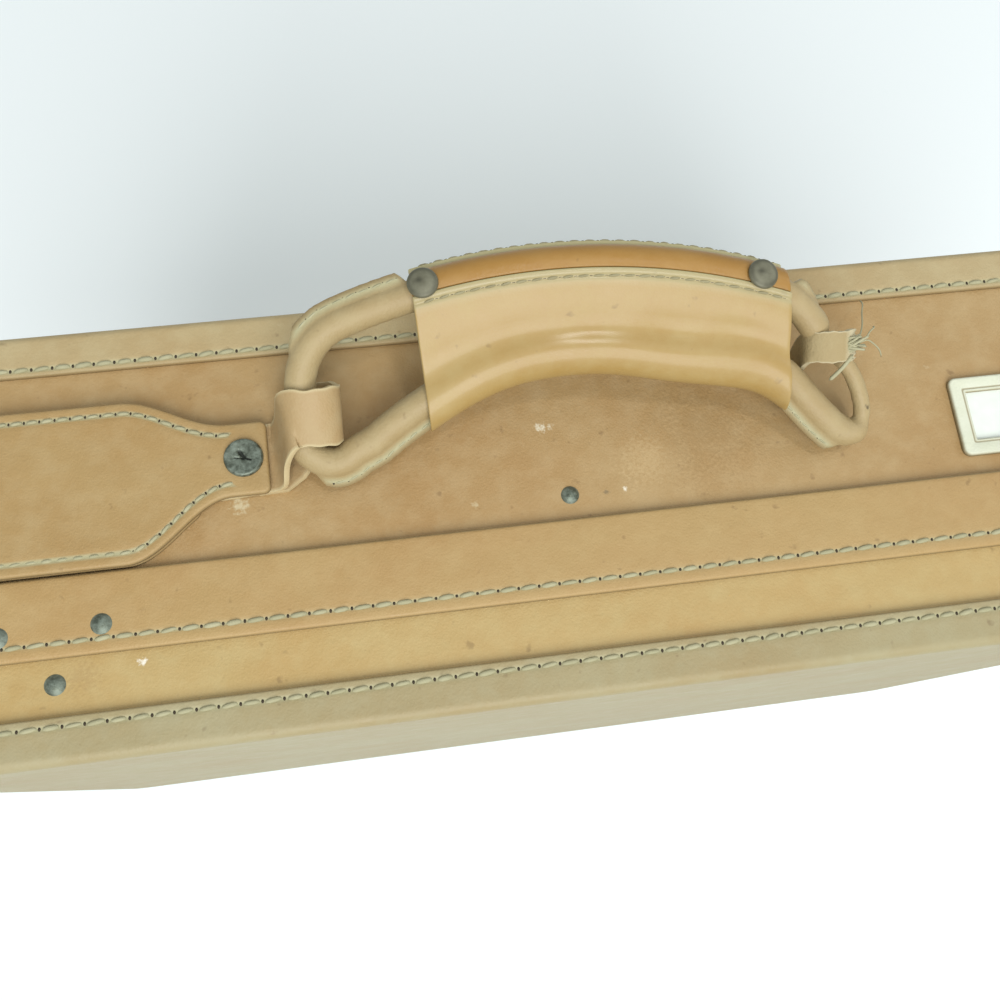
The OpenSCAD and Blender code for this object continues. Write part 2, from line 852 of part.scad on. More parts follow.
module label_frame() {
    color("wheat")
        difference() {
            translate([label_x, label_y, top_z])
                cube([label_l, label_w, label_t]);
            translate([label_x + label_border, label_y + label_border, top_z - cut])
                cube([label_l - 2 * label_border, label_w - 2 * label_border, label_t + 2 * cut]);
            translate([label_x + 2, label_y + 2, top_z - cut])
                cube([label_l - 4, label_w - 4, card_t + cut]);
        }
}

module label_card() {
    color("white")
        translate([label_x + 2 + rivet_fit, label_y + 2 + rivet_fit, top_z])
            cube([label_l - 4 - 2 * rivet_fit, label_w - 4 - 2 * rivet_fit, card_t]);
}

module feet() {
    color("darkkhaki")
        for (s = [-1, 1], y = [foot_back_y, foot_front_y])
            translate([s * foot_x, y, 0]) {
                intersection() {
                    translate([0, 0, foot_dome_r - foot_flat])
                        sphere(r = foot_dome_r, $fn = 64);
                    cylinder(r = foot_r - 0.4, h = foot_h, $fn = 64);
                }
                translate([0, 0, foot_h - cut])
                    cylinder(r = shank_r, h = cut + wall_in + lining_t, $fn = 32);
                translate([0, 0, floor_top])
                    cylinder(r = tail_r, h = lining_t, $fn = 48);
            }
}

module left_hinge_body_leaf() {
    color("silver")
        translate([-hinge_x, parting_y, hinge_z])
            hinge_leaf(0, pin_r);
}

module right_hinge_body_leaf() {
    color("silver")
        translate([hinge_x, parting_y, hinge_z])
            hinge_leaf(0, pin_r);
}

module left_hinge_pin() {
    color("gray")
        translate([-hinge_x, 0, 0])
            hinge_pin();
}

module right_hinge_pin() {
    color("gray")
        translate([hinge_x, 0, 0])
            hinge_pin();
}

module hinge_body_rivets() {
    color("gray")
        for (s = [-1, 1], t = leaf_rivets)
            translate([s * hinge_x + t * hinge_l, parting_y + leaf_rivet_y, foot_h - leaf_t])
                leaf_rivet();
}

// Outer plate of the right catch
module catch_plate() {
    difference() {
        translate([plate_low, stem_y - 8, top_z])
            cube([plate_high - plate_low, 16, catch_plate_t]);
        catch_holes(top_z - cut, top_z + catch_plate_t + cut);
    }
}

module left_catch_plate() {
    color("darkkhaki")
        mirror([1, 0, 0])
            catch_plate();
}

module right_catch_plate() {
    color("darkkhaki")
        catch_plate();
}

// Guide of the right bolt under the top wall
module bolt_guide() {
    y0 = nose_back_y - nose_w - pass_gap - guide_wall;
    y1 = bolt_wide_y + pass_gap + guide_wall;
    difference() {
        union() {
            translate([guide_end, y0, ceiling - guide_wall])
                cube([guide_far - guide_end, y1 - y0, guide_wall]);
            translate([guide_end, y0, bolt_low - pass_gap - guide_wall])
                cube([guide_block, y1 - y0, ceiling - bolt_low + pass_gap + guide_wall]);
        }
        translate([guide_end - cut, y0 + guide_wall, bolt_low - pass_gap])
            cube([bolt_end, y1 - y0 - 2 * guide_wall, bolt_t + 2 * pass_gap]);
        catch_holes(ceiling - 3, ceiling + cut);
    }
}

module left_bolt_guide() {
    color("gray")
        mirror([1, 0, 0])
            bolt_guide();
}

module right_bolt_guide() {
    color("gray")
        bolt_guide();
}

module catch_plate_rivets() {
    color("gray")
        both()
            for (p = plate_pins)
                translate([p[0], p[1], top_z + catch_plate_t])
                    rivet(plate_head_r, 0.6, catch_plate_t + wall_in + 2, p[2], 1.7, 0.5);
}

module lid_shell() {
    color("peru")
        difference() {
            from_front()
                boards(lid_depth);
            keeper_holes(ceiling - cut, top_z);
            holes(lid_low_pins, 2, rivet_fit, foot_h, floor_top + cut);
        }
}

module lid_lining() {
    color("wheat")
        difference() {
            from_front()
                lining(lid_depth);
            holes(lid_low_pins, 3, tail_over, floor_top - cut, floor_top + lining_t + cut);
            both()
                translate([keeper_x - keeper_half - keeper_gap, parting_y - keeper_w - 2 * keeper_gap,
                           ceiling - lining_t - cut])
                    cube([keeper_l + 2 * keeper_gap, keeper_w + 3 * keeper_gap, lining_t + 2 * cut]);
        }
}

module lid_wall_leather() {
    color("burlywood")
        difference() {
            from_front()
                wall(-leather_t, 0, face_in, lid_depth);
            keeper_holes(top_z - leather_t - cut, top_z + cut);
            holes(lid_low_pins, 2, rivet_fit, foot_h - cut, foot_h + leather_t + cut);
        }
}

module lid_face_leather() {
    color("tan")
        from_front()
            folded_leather(lid_fold);
}

module lid_valance() {
    q0 = lid_depth + valance_lap - valance_w;
    color("peru")
        difference() {
            from_front() {
                wall(0, pass_gap + valance_t, q0, lid_depth - pass_gap);
                wall(pass_gap, pass_gap + valance_t, lid_depth - pass_gap, lid_depth + valance_lap);
            }
            translate([-case_w, front_y, -cut])
                cube([2 * case_w, case_d, foot_h + valance_end + cut]);
            keeper_holes(top_z - cut, top_z + valance_t + 2 * cut);
        }
}

// Lid leaf at the middle of the case, turned to the lid's side
module lid_leaf() {
    translate([0, parting_y, hinge_z])
        mirror([0, 1, 0])
            hinge_leaf(1, pin_r + pin_fit);
}

module left_hinge_lid_leaf() {
    color("silver")
        translate([-hinge_x, 0, 0])
            lid_leaf();
}

module right_hinge_lid_leaf() {
    color("silver")
        translate([hinge_x, 0, 0])
            lid_leaf();
}

module hinge_lid_rivets() {
    color("gray")
        for (s = [-1, 1], t = leaf_rivets)
            translate([s * hinge_x + t * hinge_l, parting_y - leaf_rivet_y, foot_h - leaf_t])
                leaf_rivet();
}

// Keeper of the right catch: plate inside the lid, arm into the body and tooth
module keeper() {
    difference() {
        union() {
            translate([keeper_x - keeper_half, parting_y - keeper_w - keeper_gap, ceiling - keeper_t])
                cube([keeper_l, keeper_w, keeper_t]);
            translate([keeper_x - arm_half, parting_y - 4, arm_top - arm_t])
                cube([2 * arm_half, tooth_back_y - parting_y + 4, arm_t]);
            translate([keeper_x - arm_half, tooth_back_y - tooth_t, bolt_low - 1.5])
                cube([2 * arm_half, tooth_t, arm_top - bolt_low + 1.5]);
        }
        for (p = keeper_pins)
            translate([p[0], p[1], ceiling - 3])
                cylinder(r = shank_r + rivet_fit, h = 4, $fn = 48);
    }
}

module left_keeper() {
    color("gray")
        mirror([1, 0, 0])
            keeper();
}

module right_keeper() {
    color("gray")
        keeper();
}

module keeper_rivets() {
    color("darkseagreen")
        both() {
            for (i = [0, 1])
                translate([keeper_pins[i][0], keeper_pins[i][1], top_z + pass_gap + valance_t])
                    rivet(keeper_rivet_r, 1.2, pass_gap + valance_t + wall_in + keeper_t + 0.6,
                          shank_r, 2, 0.6);
            translate([keeper_pins[2][0], keeper_pins[2][1], top_z])
                rivet(keeper_rivet_r, 1.2, wall_in + keeper_t + 0.6, shank_r, 2, 0.6);
        }
}

module handle_core() {
    color("khaki")
        handle_rest()
            ring_bar(core_r);
}

module handle_ring() {
    color("tan")
        handle_rest()
            difference() {
                union() {
                    ring_bar(tube_r);
                    difference() {
                        union() {
                            whole_top_limb()
                                flange_section(0);
                            whole_low_limb()
                                flange_section(0);
                            top_bends()
                                flange_section(bend_swell);
                            flange_tip();
                        }
                        linear_extrude(height = 4 * flange_t, center = true)
                            grip_area(-flange_gap);
                    }
                }
                ring_bar(core_r);
            }
}

module grip_filler() {
    color("khaki")
        handle_rest()
            linear_extrude(height = 2 * (tube_r + grip_fit - grip_waist), center = true)
                intersection() {
                    grip_area(1.5);
                    between_limbs(tube_r + grip_fit);
                }
}

module grip_sleeve() {
    color("tan")
        handle_rest()
            difference() {
                intersection() {
                    grip_body(grip_r);
                    linear_extrude(height = 4 * grip_r, center = true)
                        grip_area(0);
                }
                grip_body(tube_r + grip_fit);
                top_limb(-top_sweep - 5, top_sweep + 5)
                    strip_sector(tube_r - cut, grip_r + 2 * cut);
            }
}

module grip_strip() {
    color("chocolate")
        handle_rest()
            difference() {
                intersection() {
                    top_limb(-top_sweep - 5, top_sweep + 5)
                        strip_sector(grip_in_r, grip_r - strip_drop);
                    linear_extrude(height = 4 * grip_r, center = true)
                        grip_area(0);
                }
                grip_rivet_places()
                    cylinder(r = shank_r + rivet_fit, h = 2 * grip_r, $fn = 32);
            }
}

// Axes of the two grip rivets, from the middle of the upper limb outwards
module grip_rivet_places() {
    for (x = [grip_left_top + grip_rivet_in, grip_right_top - grip_rivet_in + flange_gap])
        translate([0, top_c, 0])
            rotate([0, 0, -asin(x / ring_top_r)])
                translate([0, ring_top_r, 0])
                    rotate([grip_rivet_turn, 0, 0])
                        rotate([-90, 0, 0])
                            children();
}

module grip_rivets() {
    color("darkseagreen")
        handle_rest()
            grip_rivet_places() {
                translate([0, 0, grip_r + 0.05])
                    dome(grip_rivet_r, 1.9);
                translate([0, 0, tube_r])
                    cylinder(r = shank_r, h = grip_r - tube_r + 0.3, $fn = 32);
            }
}

// Right bolt, drawn back
module bolt() {
    difference() {
        union() {
            translate([nose_end, nose_back_y - nose_w, bolt_low])
                cube([bolt_end - nose_end, nose_w, bolt_t]);
            translate([nose_end + 8, nose_back_y - nose_w, bolt_low])
                cube([bolt_end - nose_end - 8, bolt_wide_y - nose_back_y + nose_w, bolt_t]);
        }
        translate([thumb_x - stem_half, stem_y - stem_half, bolt_low - cut])
            cube([2 * stem_half, 2 * stem_half, bolt_t + 2 * cut]);
    }
}

// Thumb slide of the right bolt
module thumb_slide() {
    cap_z = top_z + catch_plate_t + pass_gap;
    translate([thumb_x - stem_half, stem_y - stem_half, bolt_low])
        cube([2 * stem_half, 2 * stem_half, cap_z - bolt_low + cut]);
    difference() {
        translate([thumb_x, stem_y, cap_z])
            cylinder(r = thumb_r, h = 3, $fn = 64);
        for (i = [-1, 0, 1])
            translate([thumb_x + 0.4 * thumb_r * i - 0.4, stem_y - thumb_r - cut, cap_z + 2.4])
                cube([0.8, 2 * thumb_r + 2 * cut, cut]);
    }
}

module left_bolt() {
    color("gray")
        mirror([1, 0, 0])
            bolt();
}

module left_thumb_slide() {
    color("darkkhaki")
        mirror([1, 0, 0])
            thumb_slide();
}

module right_bolt() {
    color("gray")
        bolt();
}

module right_thumb_slide() {
    color("darkkhaki")
        thumb_slide();
}

body_shell();
body_lining();
body_wall_leather();
back_leather();
handle_tab_base();
handle_tab();
left_chape();
left_chape_rivet();
right_chape();
right_chape_rivet();
wall_stud();
label_frame();
label_card();
feet();
left_hinge_body_leaf();
right_hinge_body_leaf();
left_hinge_pin();
right_hinge_pin();
hinge_body_rivets();
left_catch_plate();
right_catch_plate();
left_bolt_guide();
right_bolt_guide();
catch_plate_rivets();
lid_shell();
lid_lining();
lid_wall_leather();
lid_face_leather();
lid_valance();
left_hinge_lid_leaf();
right_hinge_lid_leaf();
hinge_lid_rivets();
left_keeper();
right_keeper();
keeper_rivets();
handle_core();
handle_ring();
grip_filler();
grip_sleeve();
grip_strip();
grip_rivets();
left_bolt();
left_thumb_slide();
right_bolt();
right_thumb_slide();
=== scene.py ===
import bmesh
import bpy
import numpy as np
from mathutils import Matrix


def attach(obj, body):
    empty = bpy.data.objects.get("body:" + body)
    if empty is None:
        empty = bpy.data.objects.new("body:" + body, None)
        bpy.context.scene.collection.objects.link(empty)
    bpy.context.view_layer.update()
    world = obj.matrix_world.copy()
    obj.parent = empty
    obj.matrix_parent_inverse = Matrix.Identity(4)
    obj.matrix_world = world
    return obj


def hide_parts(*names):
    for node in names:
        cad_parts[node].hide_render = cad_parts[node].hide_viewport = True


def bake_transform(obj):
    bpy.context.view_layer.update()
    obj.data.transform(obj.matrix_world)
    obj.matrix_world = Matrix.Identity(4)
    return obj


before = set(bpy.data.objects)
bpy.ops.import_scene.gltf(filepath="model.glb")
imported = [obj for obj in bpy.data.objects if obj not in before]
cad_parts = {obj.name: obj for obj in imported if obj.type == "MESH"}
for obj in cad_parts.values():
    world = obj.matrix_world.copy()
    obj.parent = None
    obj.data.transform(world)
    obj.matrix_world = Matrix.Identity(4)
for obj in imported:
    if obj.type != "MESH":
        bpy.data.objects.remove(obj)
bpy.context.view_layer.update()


# Studio. The case stands at the bevelled edge of a table, so that the open lid can hang before it. Table
# and floor are covered with pale card, under a broad soft light above the lid's side, a small bright
# window and a weak light from the right. The camera is held above the handle.
def tone(hexa):
    """Linear colour of an sRGB hex value: ((c + 0.055) / 1.055) ** 2.4 above 0.04045, c / 12.92 below."""
    c = np.array([int(hexa[i:i + 2], 16) for i in (0, 2, 4)]) / 255.0
    c = np.where(c > 0.04045, ((c + 0.055) / 1.055) ** 2.4, c / 12.92)
    return (*[float(v) for v in c], 1.0)


def add(tree, kind, settings=None, links=None):
    """One shader node in tree. A setting is one of its own properties or the value of a socket, and a
    link gives the output that feeds a socket. Sockets go by name or number."""
    made = tree.nodes.new("ShaderNode" + kind)
    for key, value in (settings or {}).items():
        if isinstance(key, str) and hasattr(made, key):
            setattr(made, key, value)
        else:
            made.inputs[key].default_value = value
    for key, source in (links or {}).items():
        tree.links.new(source, made.inputs[key])
    return made


def blank_material(name):
    """A new material and its empty node tree."""
    made = bpy.data.materials.new(name)
    made.use_nodes = True
    made.node_tree.nodes.clear()
    return made, made.node_tree


def surface(tree, settings=None, links=None):
    """Principled shader with these settings and links, joined to the material's output."""
    shader = add(tree, "BsdfPrincipled", settings, links)
    add(tree, "OutputMaterial", None, {"Surface": shader.outputs[0]})


def shown(name, data):
    """A new object of the scene that holds data."""
    made = bpy.data.objects.new(name, data)
    bpy.context.scene.collection.objects.link(made)
    return made


matt_card, tree = blank_material("matt_card")
surface(tree, {"Base Color": tone("eff4f4"), "Roughness": 0.9})

room, floor_z = 6.0, -0.40
table_y, bevel_y, bevel_z = -0.0145, 0.017, -0.020
floor_mesh = bpy.data.meshes.new("floor")
# Section from the floor up, as y and z. The table's edge is undercut, to clear the lid that hangs open.
profile = ((-room, floor_z), (bevel_y, floor_z), (bevel_y, bevel_z), (table_y - 0.0005, -0.0012),
           (table_y, 0.0), (room, 0.0))
floor_mesh.from_pydata([(x, y, z) for y, z in profile for x in (-room, room)], [],
                       [(2 * k, 2 * k + 1, 2 * k + 3, 2 * k + 2) for k in range(len(profile) - 1)])
floor_mesh.materials.append(matt_card)
floor = shown("floor", floor_mesh)

studio = bpy.data.worlds.new("studio")
bpy.context.scene.world = studio
studio.use_nodes = True
sky = studio.node_tree.nodes["Background"]
sky.inputs["Color"].default_value = tone("eef6f8")
sky.inputs["Strength"].default_value = 0.6

for name, power, size, place, turn in (
        ("front_softbox", 49.0, 1.6, (-0.1, -1.65, 1.85), (0.78, 0.0, -0.06)),
        ("bright_window", 4.0, 0.17, (0.31, -0.04, 2.05), (0.02, 0.17, 0.0)),
        ("right_softbox", 9.0, 1.2, (2.0, 0.6, 1.8), (0.0, 0.85, 0.1))):
    lamp = bpy.data.lights.new(name, "AREA")
    lamp.shape = "SQUARE"
    lamp.size = size
    lamp.energy = power
    lamp_object = shown(name, lamp)
    lamp_object.location = place
    lamp_object.rotation_euler = turn

view = bpy.data.cameras.new("camera")
view.lens = 37.8
view.sensor_width = 36.0
view.clip_start = 0.01
camera = shown("camera", view)
camera.location = (-0.05767, -0.07991, 0.6315)
camera.rotation_euler = (0.2611, -0.07124, -0.13169)
bpy.context.scene.camera = camera
bpy.context.scene.view_settings.view_transform = "Standard"


# Boards. Both halves of the case are frames of stiff brown pulp board, glued and pinned; only their
# edges at the joint are seen, when the case is open.
def noise(tree, scale, detail, roughness=0.5):
    """Value of a noise texture laid in the object's own frame."""
    place = add(tree, "TexCoord").outputs["Object"]
    made = add(tree, "TexNoise", {"Scale": scale, "Detail": detail, "Roughness": roughness},
               {0: place})
    return made.outputs[0]


def between(tree, share, low, high):
    """Colour that goes from low to high with share; both are hex values or outputs of other nodes."""
    settings, links = {"data_type": "RGBA"}, {0: share}
    for socket, colour in ((6, low), (7, high)):
        if isinstance(colour, str):
            settings[socket] = tone(colour)
        else:
            links[socket] = colour
    return add(tree, "Mix", settings, links).outputs[2]


def bumped(tree, height, strength, distance, normal=None):
    """Normal bumped by a height, on top of another normal where one is given."""
    links = {"Height": height} if normal is None else {"Height": height, "Normal": normal}
    return add(tree, "Bump", {"Strength": strength, "Distance": distance}, links).outputs[0]


pulp_board, tree = blank_material("pulp_board")
fleck = noise(tree, 900.0, 4.0)
surface(tree, {"Roughness": 0.85}, {"Base Color": between(tree, fleck, "6b4f33", "94744f"),
                                    "Normal": bumped(tree, fleck, 0.4, 0.0004)})


def dress(material, *nodes):
    """Gives CAD nodes a material in place of their plain one."""
    for node in nodes:
        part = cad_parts[node]
        part.data.materials.clear()
        part.data.materials.append(material)


dress(pulp_board, "body_shell", "lid_shell")


# Linings. A drab cotton twill is pasted over the inside of both halves and stops 1 mm short of the
# joint.
cotton_twill, tree = blank_material("cotton_twill")
place = add(tree, "TexCoord").outputs["Object"]
spread = add(tree, "Mapping", {"Rotation": (0.6, 0.6, 0.8)}, {0: place})
ribs = add(tree, "TexWave", {"Scale": 260.0, "Distortion": 1.5, "Detail Scale": 3.0},
           {0: spread.outputs[0]})
surface(tree, {"Roughness": 0.9, "Sheen Weight": 0.2, "Sheen Roughness": 0.6},
        {"Base Color": between(tree, noise(tree, 14.0, 5.0), "9c8a66", "b8a780"),
         "Normal": bumped(tree, ribs.outputs[1], 0.5, 0.0003)})
dress(cotton_twill, "body_lining", "lid_lining")


# Wall leathers. Vegetable-tanned bridle hide about 2 mm thick, once London tan and now faded, is
# glued round the walls of both halves. Wear has left it blotchy, with pale scuffs and dark nicks;
# a broad dark spot under the grip is painted shade.
def ramp(tree, source, low, high, first=0.0, last=1.0):
    """Value that goes from first to last while source goes from low to high."""
    return add(tree, "MapRange", {1: low, 2: high, 3: first, 4: last}, {0: source}).outputs[0]


def layer_of(tree, name):
    """Value of a mesh attribute."""
    return add(tree, "Attribute", {"attribute_name": name}).outputs["Fac"]


def bridle_hide(name, body, warm, pale, rough=0.5, grain=1.0, scuffs=1.0, spots=1.0, raw="94805a",
                coat=0.0, marks=()):
    """Aged bridle leather. The colour wanders between three tones, over patches of 45 mm and mottles
    of 7 mm, with dark specks of 2 mm and pale scuffs where high noise is cut off. Pores 0.7 mm apart
    and wrinkles 5 and 30 mm long make the bump. The mesh attributes seam and cut, from 0 to 1, bring
    in the dusty tone of a stitch groove and the tone raw of the cut edge, which on the label frame is
    painted shade. Each of the marks is a ragged spot: a place, a radius, a colour and a strength; a
    few are painted shade."""
    made, tree = blank_material(name)
    place = add(tree, "TexCoord").outputs["Object"]
    mottle = noise(tree, 140.0, 5.0, 0.6)
    colour = body
    for source, low, high, most, over in (
            (noise(tree, 22.0, 4.0, 0.55), 0.36, 0.68, 0.62, warm), (mottle, 0.42, 0.74, 0.34, pale),
            (noise(tree, 240.0, 2.0), 0.69, 0.78, 0.35 * spots, "5f4527"),
            (noise(tree, 62.0, 6.0, 0.7), 0.69, 0.77, 0.4 * scuffs, "dccfae")):
        colour = between(tree, ramp(tree, source, low, high, 0.0, most), colour, over)
    grit = noise(tree, 900.0, 4.0)
    for spot, radius, over, most in marks:
        away = add(tree, "VectorMath", {"operation": "DISTANCE", 1: spot}, {0: place})
        ragged = add(tree, "Math", {"operation": "MULTIPLY_ADD", 1: 3.4 * radius},
                     {0: grit, 2: away.outputs["Value"]})
        share = ramp(tree, ragged.outputs[0], 2.7 * radius, 1.9 * radius, 0.0, most)
        colour = between(tree, share, colour, over)
    for layer, over in (("seam", "aaa581"), ("cut", raw)):
        colour = between(tree, layer_of(tree, layer), colour, over)
    pores = add(tree, "TexVoronoi", {"Scale": 1400.0}, {0: place})
    normal = bumped(tree, pores.outputs[0], 0.22 * grain, 0.0003)
    normal = bumped(tree, noise(tree, 190.0, 6.0, 0.65), 0.35 * grain, 0.0007, normal)
    normal = bumped(tree, noise(tree, 34.0, 2.0), 0.4, 0.003, normal)
    gloss = ramp(tree, mottle, 0.3, 0.7, rough - 0.07, rough + 0.1)
    surface(tree, {"IOR": 1.45, "Coat Weight": coat, "Coat Roughness": 0.2},
            {"Base Color": colour, "Roughness": gloss, "Normal": normal})
    return made


# The broad dark spot, 8d7145 at x 38.5 mm and y 12.5 mm, is painted shade under the grip's right end.
wall_marks = (
    ((-0.0106, 0.0184, 0.33), 0.0017, "e2dcc4", 0.75), ((-0.0075, 0.0185, 0.33), 0.0011, "ddd6bc", 0.6),
    ((0.0123, -0.0035, 0.33), 0.0007, "ece6d2", 0.9), ((0.0067, -0.0038, 0.33), 0.0010, "77694d", 0.7),
    ((-0.1016, 0.0044, 0.33), 0.0028, "cfc6a4", 0.6), ((-0.0333, -0.0034, 0.33), 0.0012, "d5cca9", 0.35),
    ((0.0385, 0.0125, 0.33), 0.0200, "8d7145", 0.35), ((0.0200, 0.0050, 0.33), 0.0090, "cdb487", 0.3))
dress(bridle_hide("wall_bridle_hide", "a88b5d", "9f7b4a", "bca67e", rough=0.55, marks=wall_marks),
      "body_wall_leather")
dress(bridle_hide("lid_wall_bridle_hide", "b49a65", "ae8c54", "beae7e",
                  marks=(((-0.1313, -0.0379, 0.33), 0.0013, "efe9da", 0.9),
                         ((-0.1480, -0.0400, 0.33), 0.0060, "a08254", 0.35))), "lid_wall_leather")


# Back leather and lid leather. Each face is one hide, moulded over the edges of its four walls and
# sewn down through a groove 2 to 3 mm from its cut edge.
case_w, case_h, foot_h, corner_r = 0.432, 0.325, 0.005, 0.012
top_z, mid_z = foot_h + case_h, foot_h + case_h / 2
back_y, front_y = 0.0635, -0.0635


def outline(p, step=0.004):
    """Points and outward normals round the case's front outline grown by p, as two (n, 2) arrays in
    X and Z: four quarter circles of radius corner_r + p in 12 parts, with straights cut every step
    between them. It starts at the lower right corner and goes up the right side."""
    r = corner_r + p
    lx, lz = case_w / 2 - corner_r, case_h / 2 - corner_r
    points, normals = [], []
    for k, (cx, cz, length, along) in enumerate((
            (lx, -lz, 2 * lz, (0, 1)), (lx, lz, 2 * lx, (-1, 0)),
            (-lx, lz, 2 * lz, (0, -1)), (-lx, -lz, 2 * lx, (1, 0)))):
        angle = (k - 1) * np.pi / 2 + np.linspace(0, np.pi / 2, 13)
        normal = np.stack([np.cos(angle), np.sin(angle)], 1)
        arc = np.array([cx, cz]) + r * normal
        share = np.linspace(0, 1, int(length / step) + 1)[1:-1, None]
        points += [arc, arc[-1] + share * length * np.array(along)]
        normals += [normal, np.repeat(normal[-1:], len(share), 0)]
    return np.concatenate(points), np.concatenate(normals)


def new_piece(name, points, faces):
    """Smooth-shaded mesh object with its place in its points."""
    mesh = bpy.data.meshes.new(name)
    mesh.from_pydata(np.reshape(points, (-1, 3)).tolist(), [], faces)
    mesh.shade_smooth()
    return shown(name, mesh)


def quads_of(m, n, loops=False, endless=False):
    """Quads between neighbours in m rows of n vertices. With loops each row also closes, and with
    endless the last row meets the first."""
    index = np.arange(m * n).reshape(m, n)
    if endless:
        index = np.concatenate([index, index[:1]])
    if loops:
        index = np.concatenate([index, index[:, :1]], 1)
    return np.stack([index[:-1, :-1], index[1:, :-1], index[1:, 1:], index[:-1, 1:]],
                    -1).reshape(-1, 4).tolist()


def tube(name, points, endless=False):
    """Piece from an (m, n, 3) grid whose rows are closed loops. With endless the last row meets the
    first; without it the first and last rows get no caps."""
    return new_piece(name, points, quads_of(*points.shape[:2], loops=True, endless=endless))


def slab(name, top, under):
    """Closed sheet between two (m, n, 3) grids, with quads round its four edges."""
    m, n = top.shape[:2]
    upper = np.arange(m * n).reshape(m, n)
    rim = np.concatenate([upper[0, :-1], upper[:-1, -1], upper[-1, :0:-1], upper[:0:-1, 0]])
    ahead = np.roll(rim, -1)
    sides = np.stack([rim, ahead, ahead + m * n, rim + m * n], 1).tolist()
    faces = quads_of(m, n) + [[v + m * n for v in q[::-1]] for q in quads_of(m, n)] + sides
    return new_piece(name, np.concatenate([top.reshape(-1, 3), under.reshape(-1, 3)]), faces)


def outward(made, merge=0.0):
    """Joins points closer than merge and turns every face outwards."""
    work = bmesh.new()
    work.from_mesh(made.data)
    if merge:
        bmesh.ops.remove_doubles(work, verts=work.verts, dist=merge)
    bmesh.ops.recalc_face_normals(work, faces=work.faces)
    work.to_mesh(made.data)
    work.free()
    made.data.shade_smooth()


def mark(made, layer, values):
    """Stores one number for each vertex under the name layer."""
    stored = made.data.attributes.new(layer, "FLOAT", "POINT")
    stored.data.foreach_set("value", np.ascontiguousarray(np.ravel(values), dtype=np.float32))


def settle(made, material, body, *nodes):
    """Gives a piece its material and its body, and hides the CAD nodes that it stands for."""
    made.data.materials.append(material)
    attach(made, body)
    if nodes:
        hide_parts(*nodes)


def soften(made, width, segments=2):
    """Rounds the edges that turn by more than 35 degrees."""
    bevel = made.modifiers.new("soften", "BEVEL")
    bevel.width = width
    bevel.segments = segments
    bevel.limit_method = "ANGLE"
    bevel.angle_limit = np.radians(35)


def off_wall(flat, normal, p, y):
    """Points p outside the walls and at y, from points and normals of the front outline; p and y may
    be columns, one row of points for each of their values."""
    return np.stack(np.broadcast_arrays(flat[:, 0] + p * normal[:, 0], y,
                                        mid_z + flat[:, 1] + p * normal[:, 1]), -1)


def folded_hide(name, face_y, inward, fold, seam_in):
    """Face leather 2 mm thick, folded over the walls with a 3 mm edge. Its profile, in distance p off
    the wall and depth q from the face, goes up the cut edge rounded over 0.7 mm, along the fold with
    a groove 0.26 mm deep at the seam, and round a quarter circle; it is carried round the outline,
    and rings that shrink to the middle line close the face. A flat underside 2 mm in closes it."""
    leather, edge, nose = 0.002, 0.003, 0.0007
    groove = fold - seam_in + np.array([1.3, 0.8, 0.35, 0, -0.35, -0.8, -1.3]) * 1e-3
    depth = np.array([0, 0.08, 0.22, 0.26, 0.22, 0.08, 0]) * 1e-3
    turn = np.linspace(0, np.pi / 2, 6)
    bend = np.linspace(0.15, np.pi / 2, 9)
    straight = np.linspace(groove[-1] - 0.001, edge, 6)
    p = np.concatenate([[0], leather - nose * (1 - np.sin(turn)), leather - depth,
                        np.full(len(straight), leather), leather - edge * (1 - np.cos(bend))])
    q = np.concatenate([[fold], fold - nose * (1 - np.cos(turn)), groove, straight,
                        edge * (1 - np.sin(bend))])
    plain = np.zeros(len(straight) + len(bend))
    seam = np.concatenate([[0], 0 * turn, depth / depth.max(), plain])
    cut = 0.8 * np.concatenate([[1], np.cos(turn), 0 * depth, plain])
    base, normal = outline(0)
    rows = off_wall(base, normal, p[:, None], face_y + inward * q[:, None])
    share = np.array([0.004, 0.01, 0.02, 0.04, 0.08, 0.16, 0.28, 0.42, 0.58, 0.74, 0.88, 1.0])
    rim = rows[-1]
    middle = np.stack([np.clip(rim[:, 0], (case_h - case_w) / 2, (case_w - case_h) / 2), rim[:, 1],
                       np.full(len(rim), mid_z)], -1)
    face = rim + share[:, None, None] * (middle - rim)
    sag = 0.0004 * np.sin(share * np.pi / 2)[:, None] * (
        1 + np.sin(face[..., 0] * 13 + 1.2) * np.cos(face[..., 2] * 11))
    face[..., 1] += inward * sag
    back = face[::-1].copy()
    back[..., 1] = face_y + inward * (leather + 0.0005)
    under = off_wall(base, normal, 0, face_y + inward * edge)
    flat = np.zeros(len(share))
    made = tube(name, np.concatenate([back, under[None], rows, face]))
    mark(made, "seam", np.repeat(np.concatenate([flat, [0], seam, flat]), len(base)))
    mark(made, "cut", np.repeat(np.concatenate([flat, [0], cut, flat]), len(base)))
    outward(made, merge=1e-6)
    return made


back_hide = bridle_hide("back_bridle_hide", "ad9970", "a6895b", "beb18b", rough=0.55)
lid_hide = bridle_hide("lid_bridle_hide", "a0946f", "9a8357", "aba688")
back_fold, back_seam_in = 0.0135, 0.0020
lid_fold, lid_seam_in = 0.0133, 0.0028
settle(folded_hide("back_cover", back_y, -1, back_fold, back_seam_in), back_hide, "body", "back_leather")
settle(folded_hide("lid_cover", front_y, 1, lid_fold, lid_seam_in), lid_hide, "lid", "lid_face_leather")


# Saddle stitches. Waxed linen thread, once white and now grey-green with dust, lies in the grooves
# at four to six to the inch. Each stitch leans a little and dips into an awl hole at both ends.
def thread_of(name, low, high):
    """Waxed thread, its tone wandering between two over 8 mm, with fine strands as bump."""
    made, tree = blank_material(name)
    surface(tree, {"Roughness": 0.8}, {"Base Color": between(tree, noise(tree, 130.0, 3.0), low, high),
                                       "Normal": bumped(tree, noise(tree, 3500.0, 2.0), 0.4, 0.0002)})
    return made


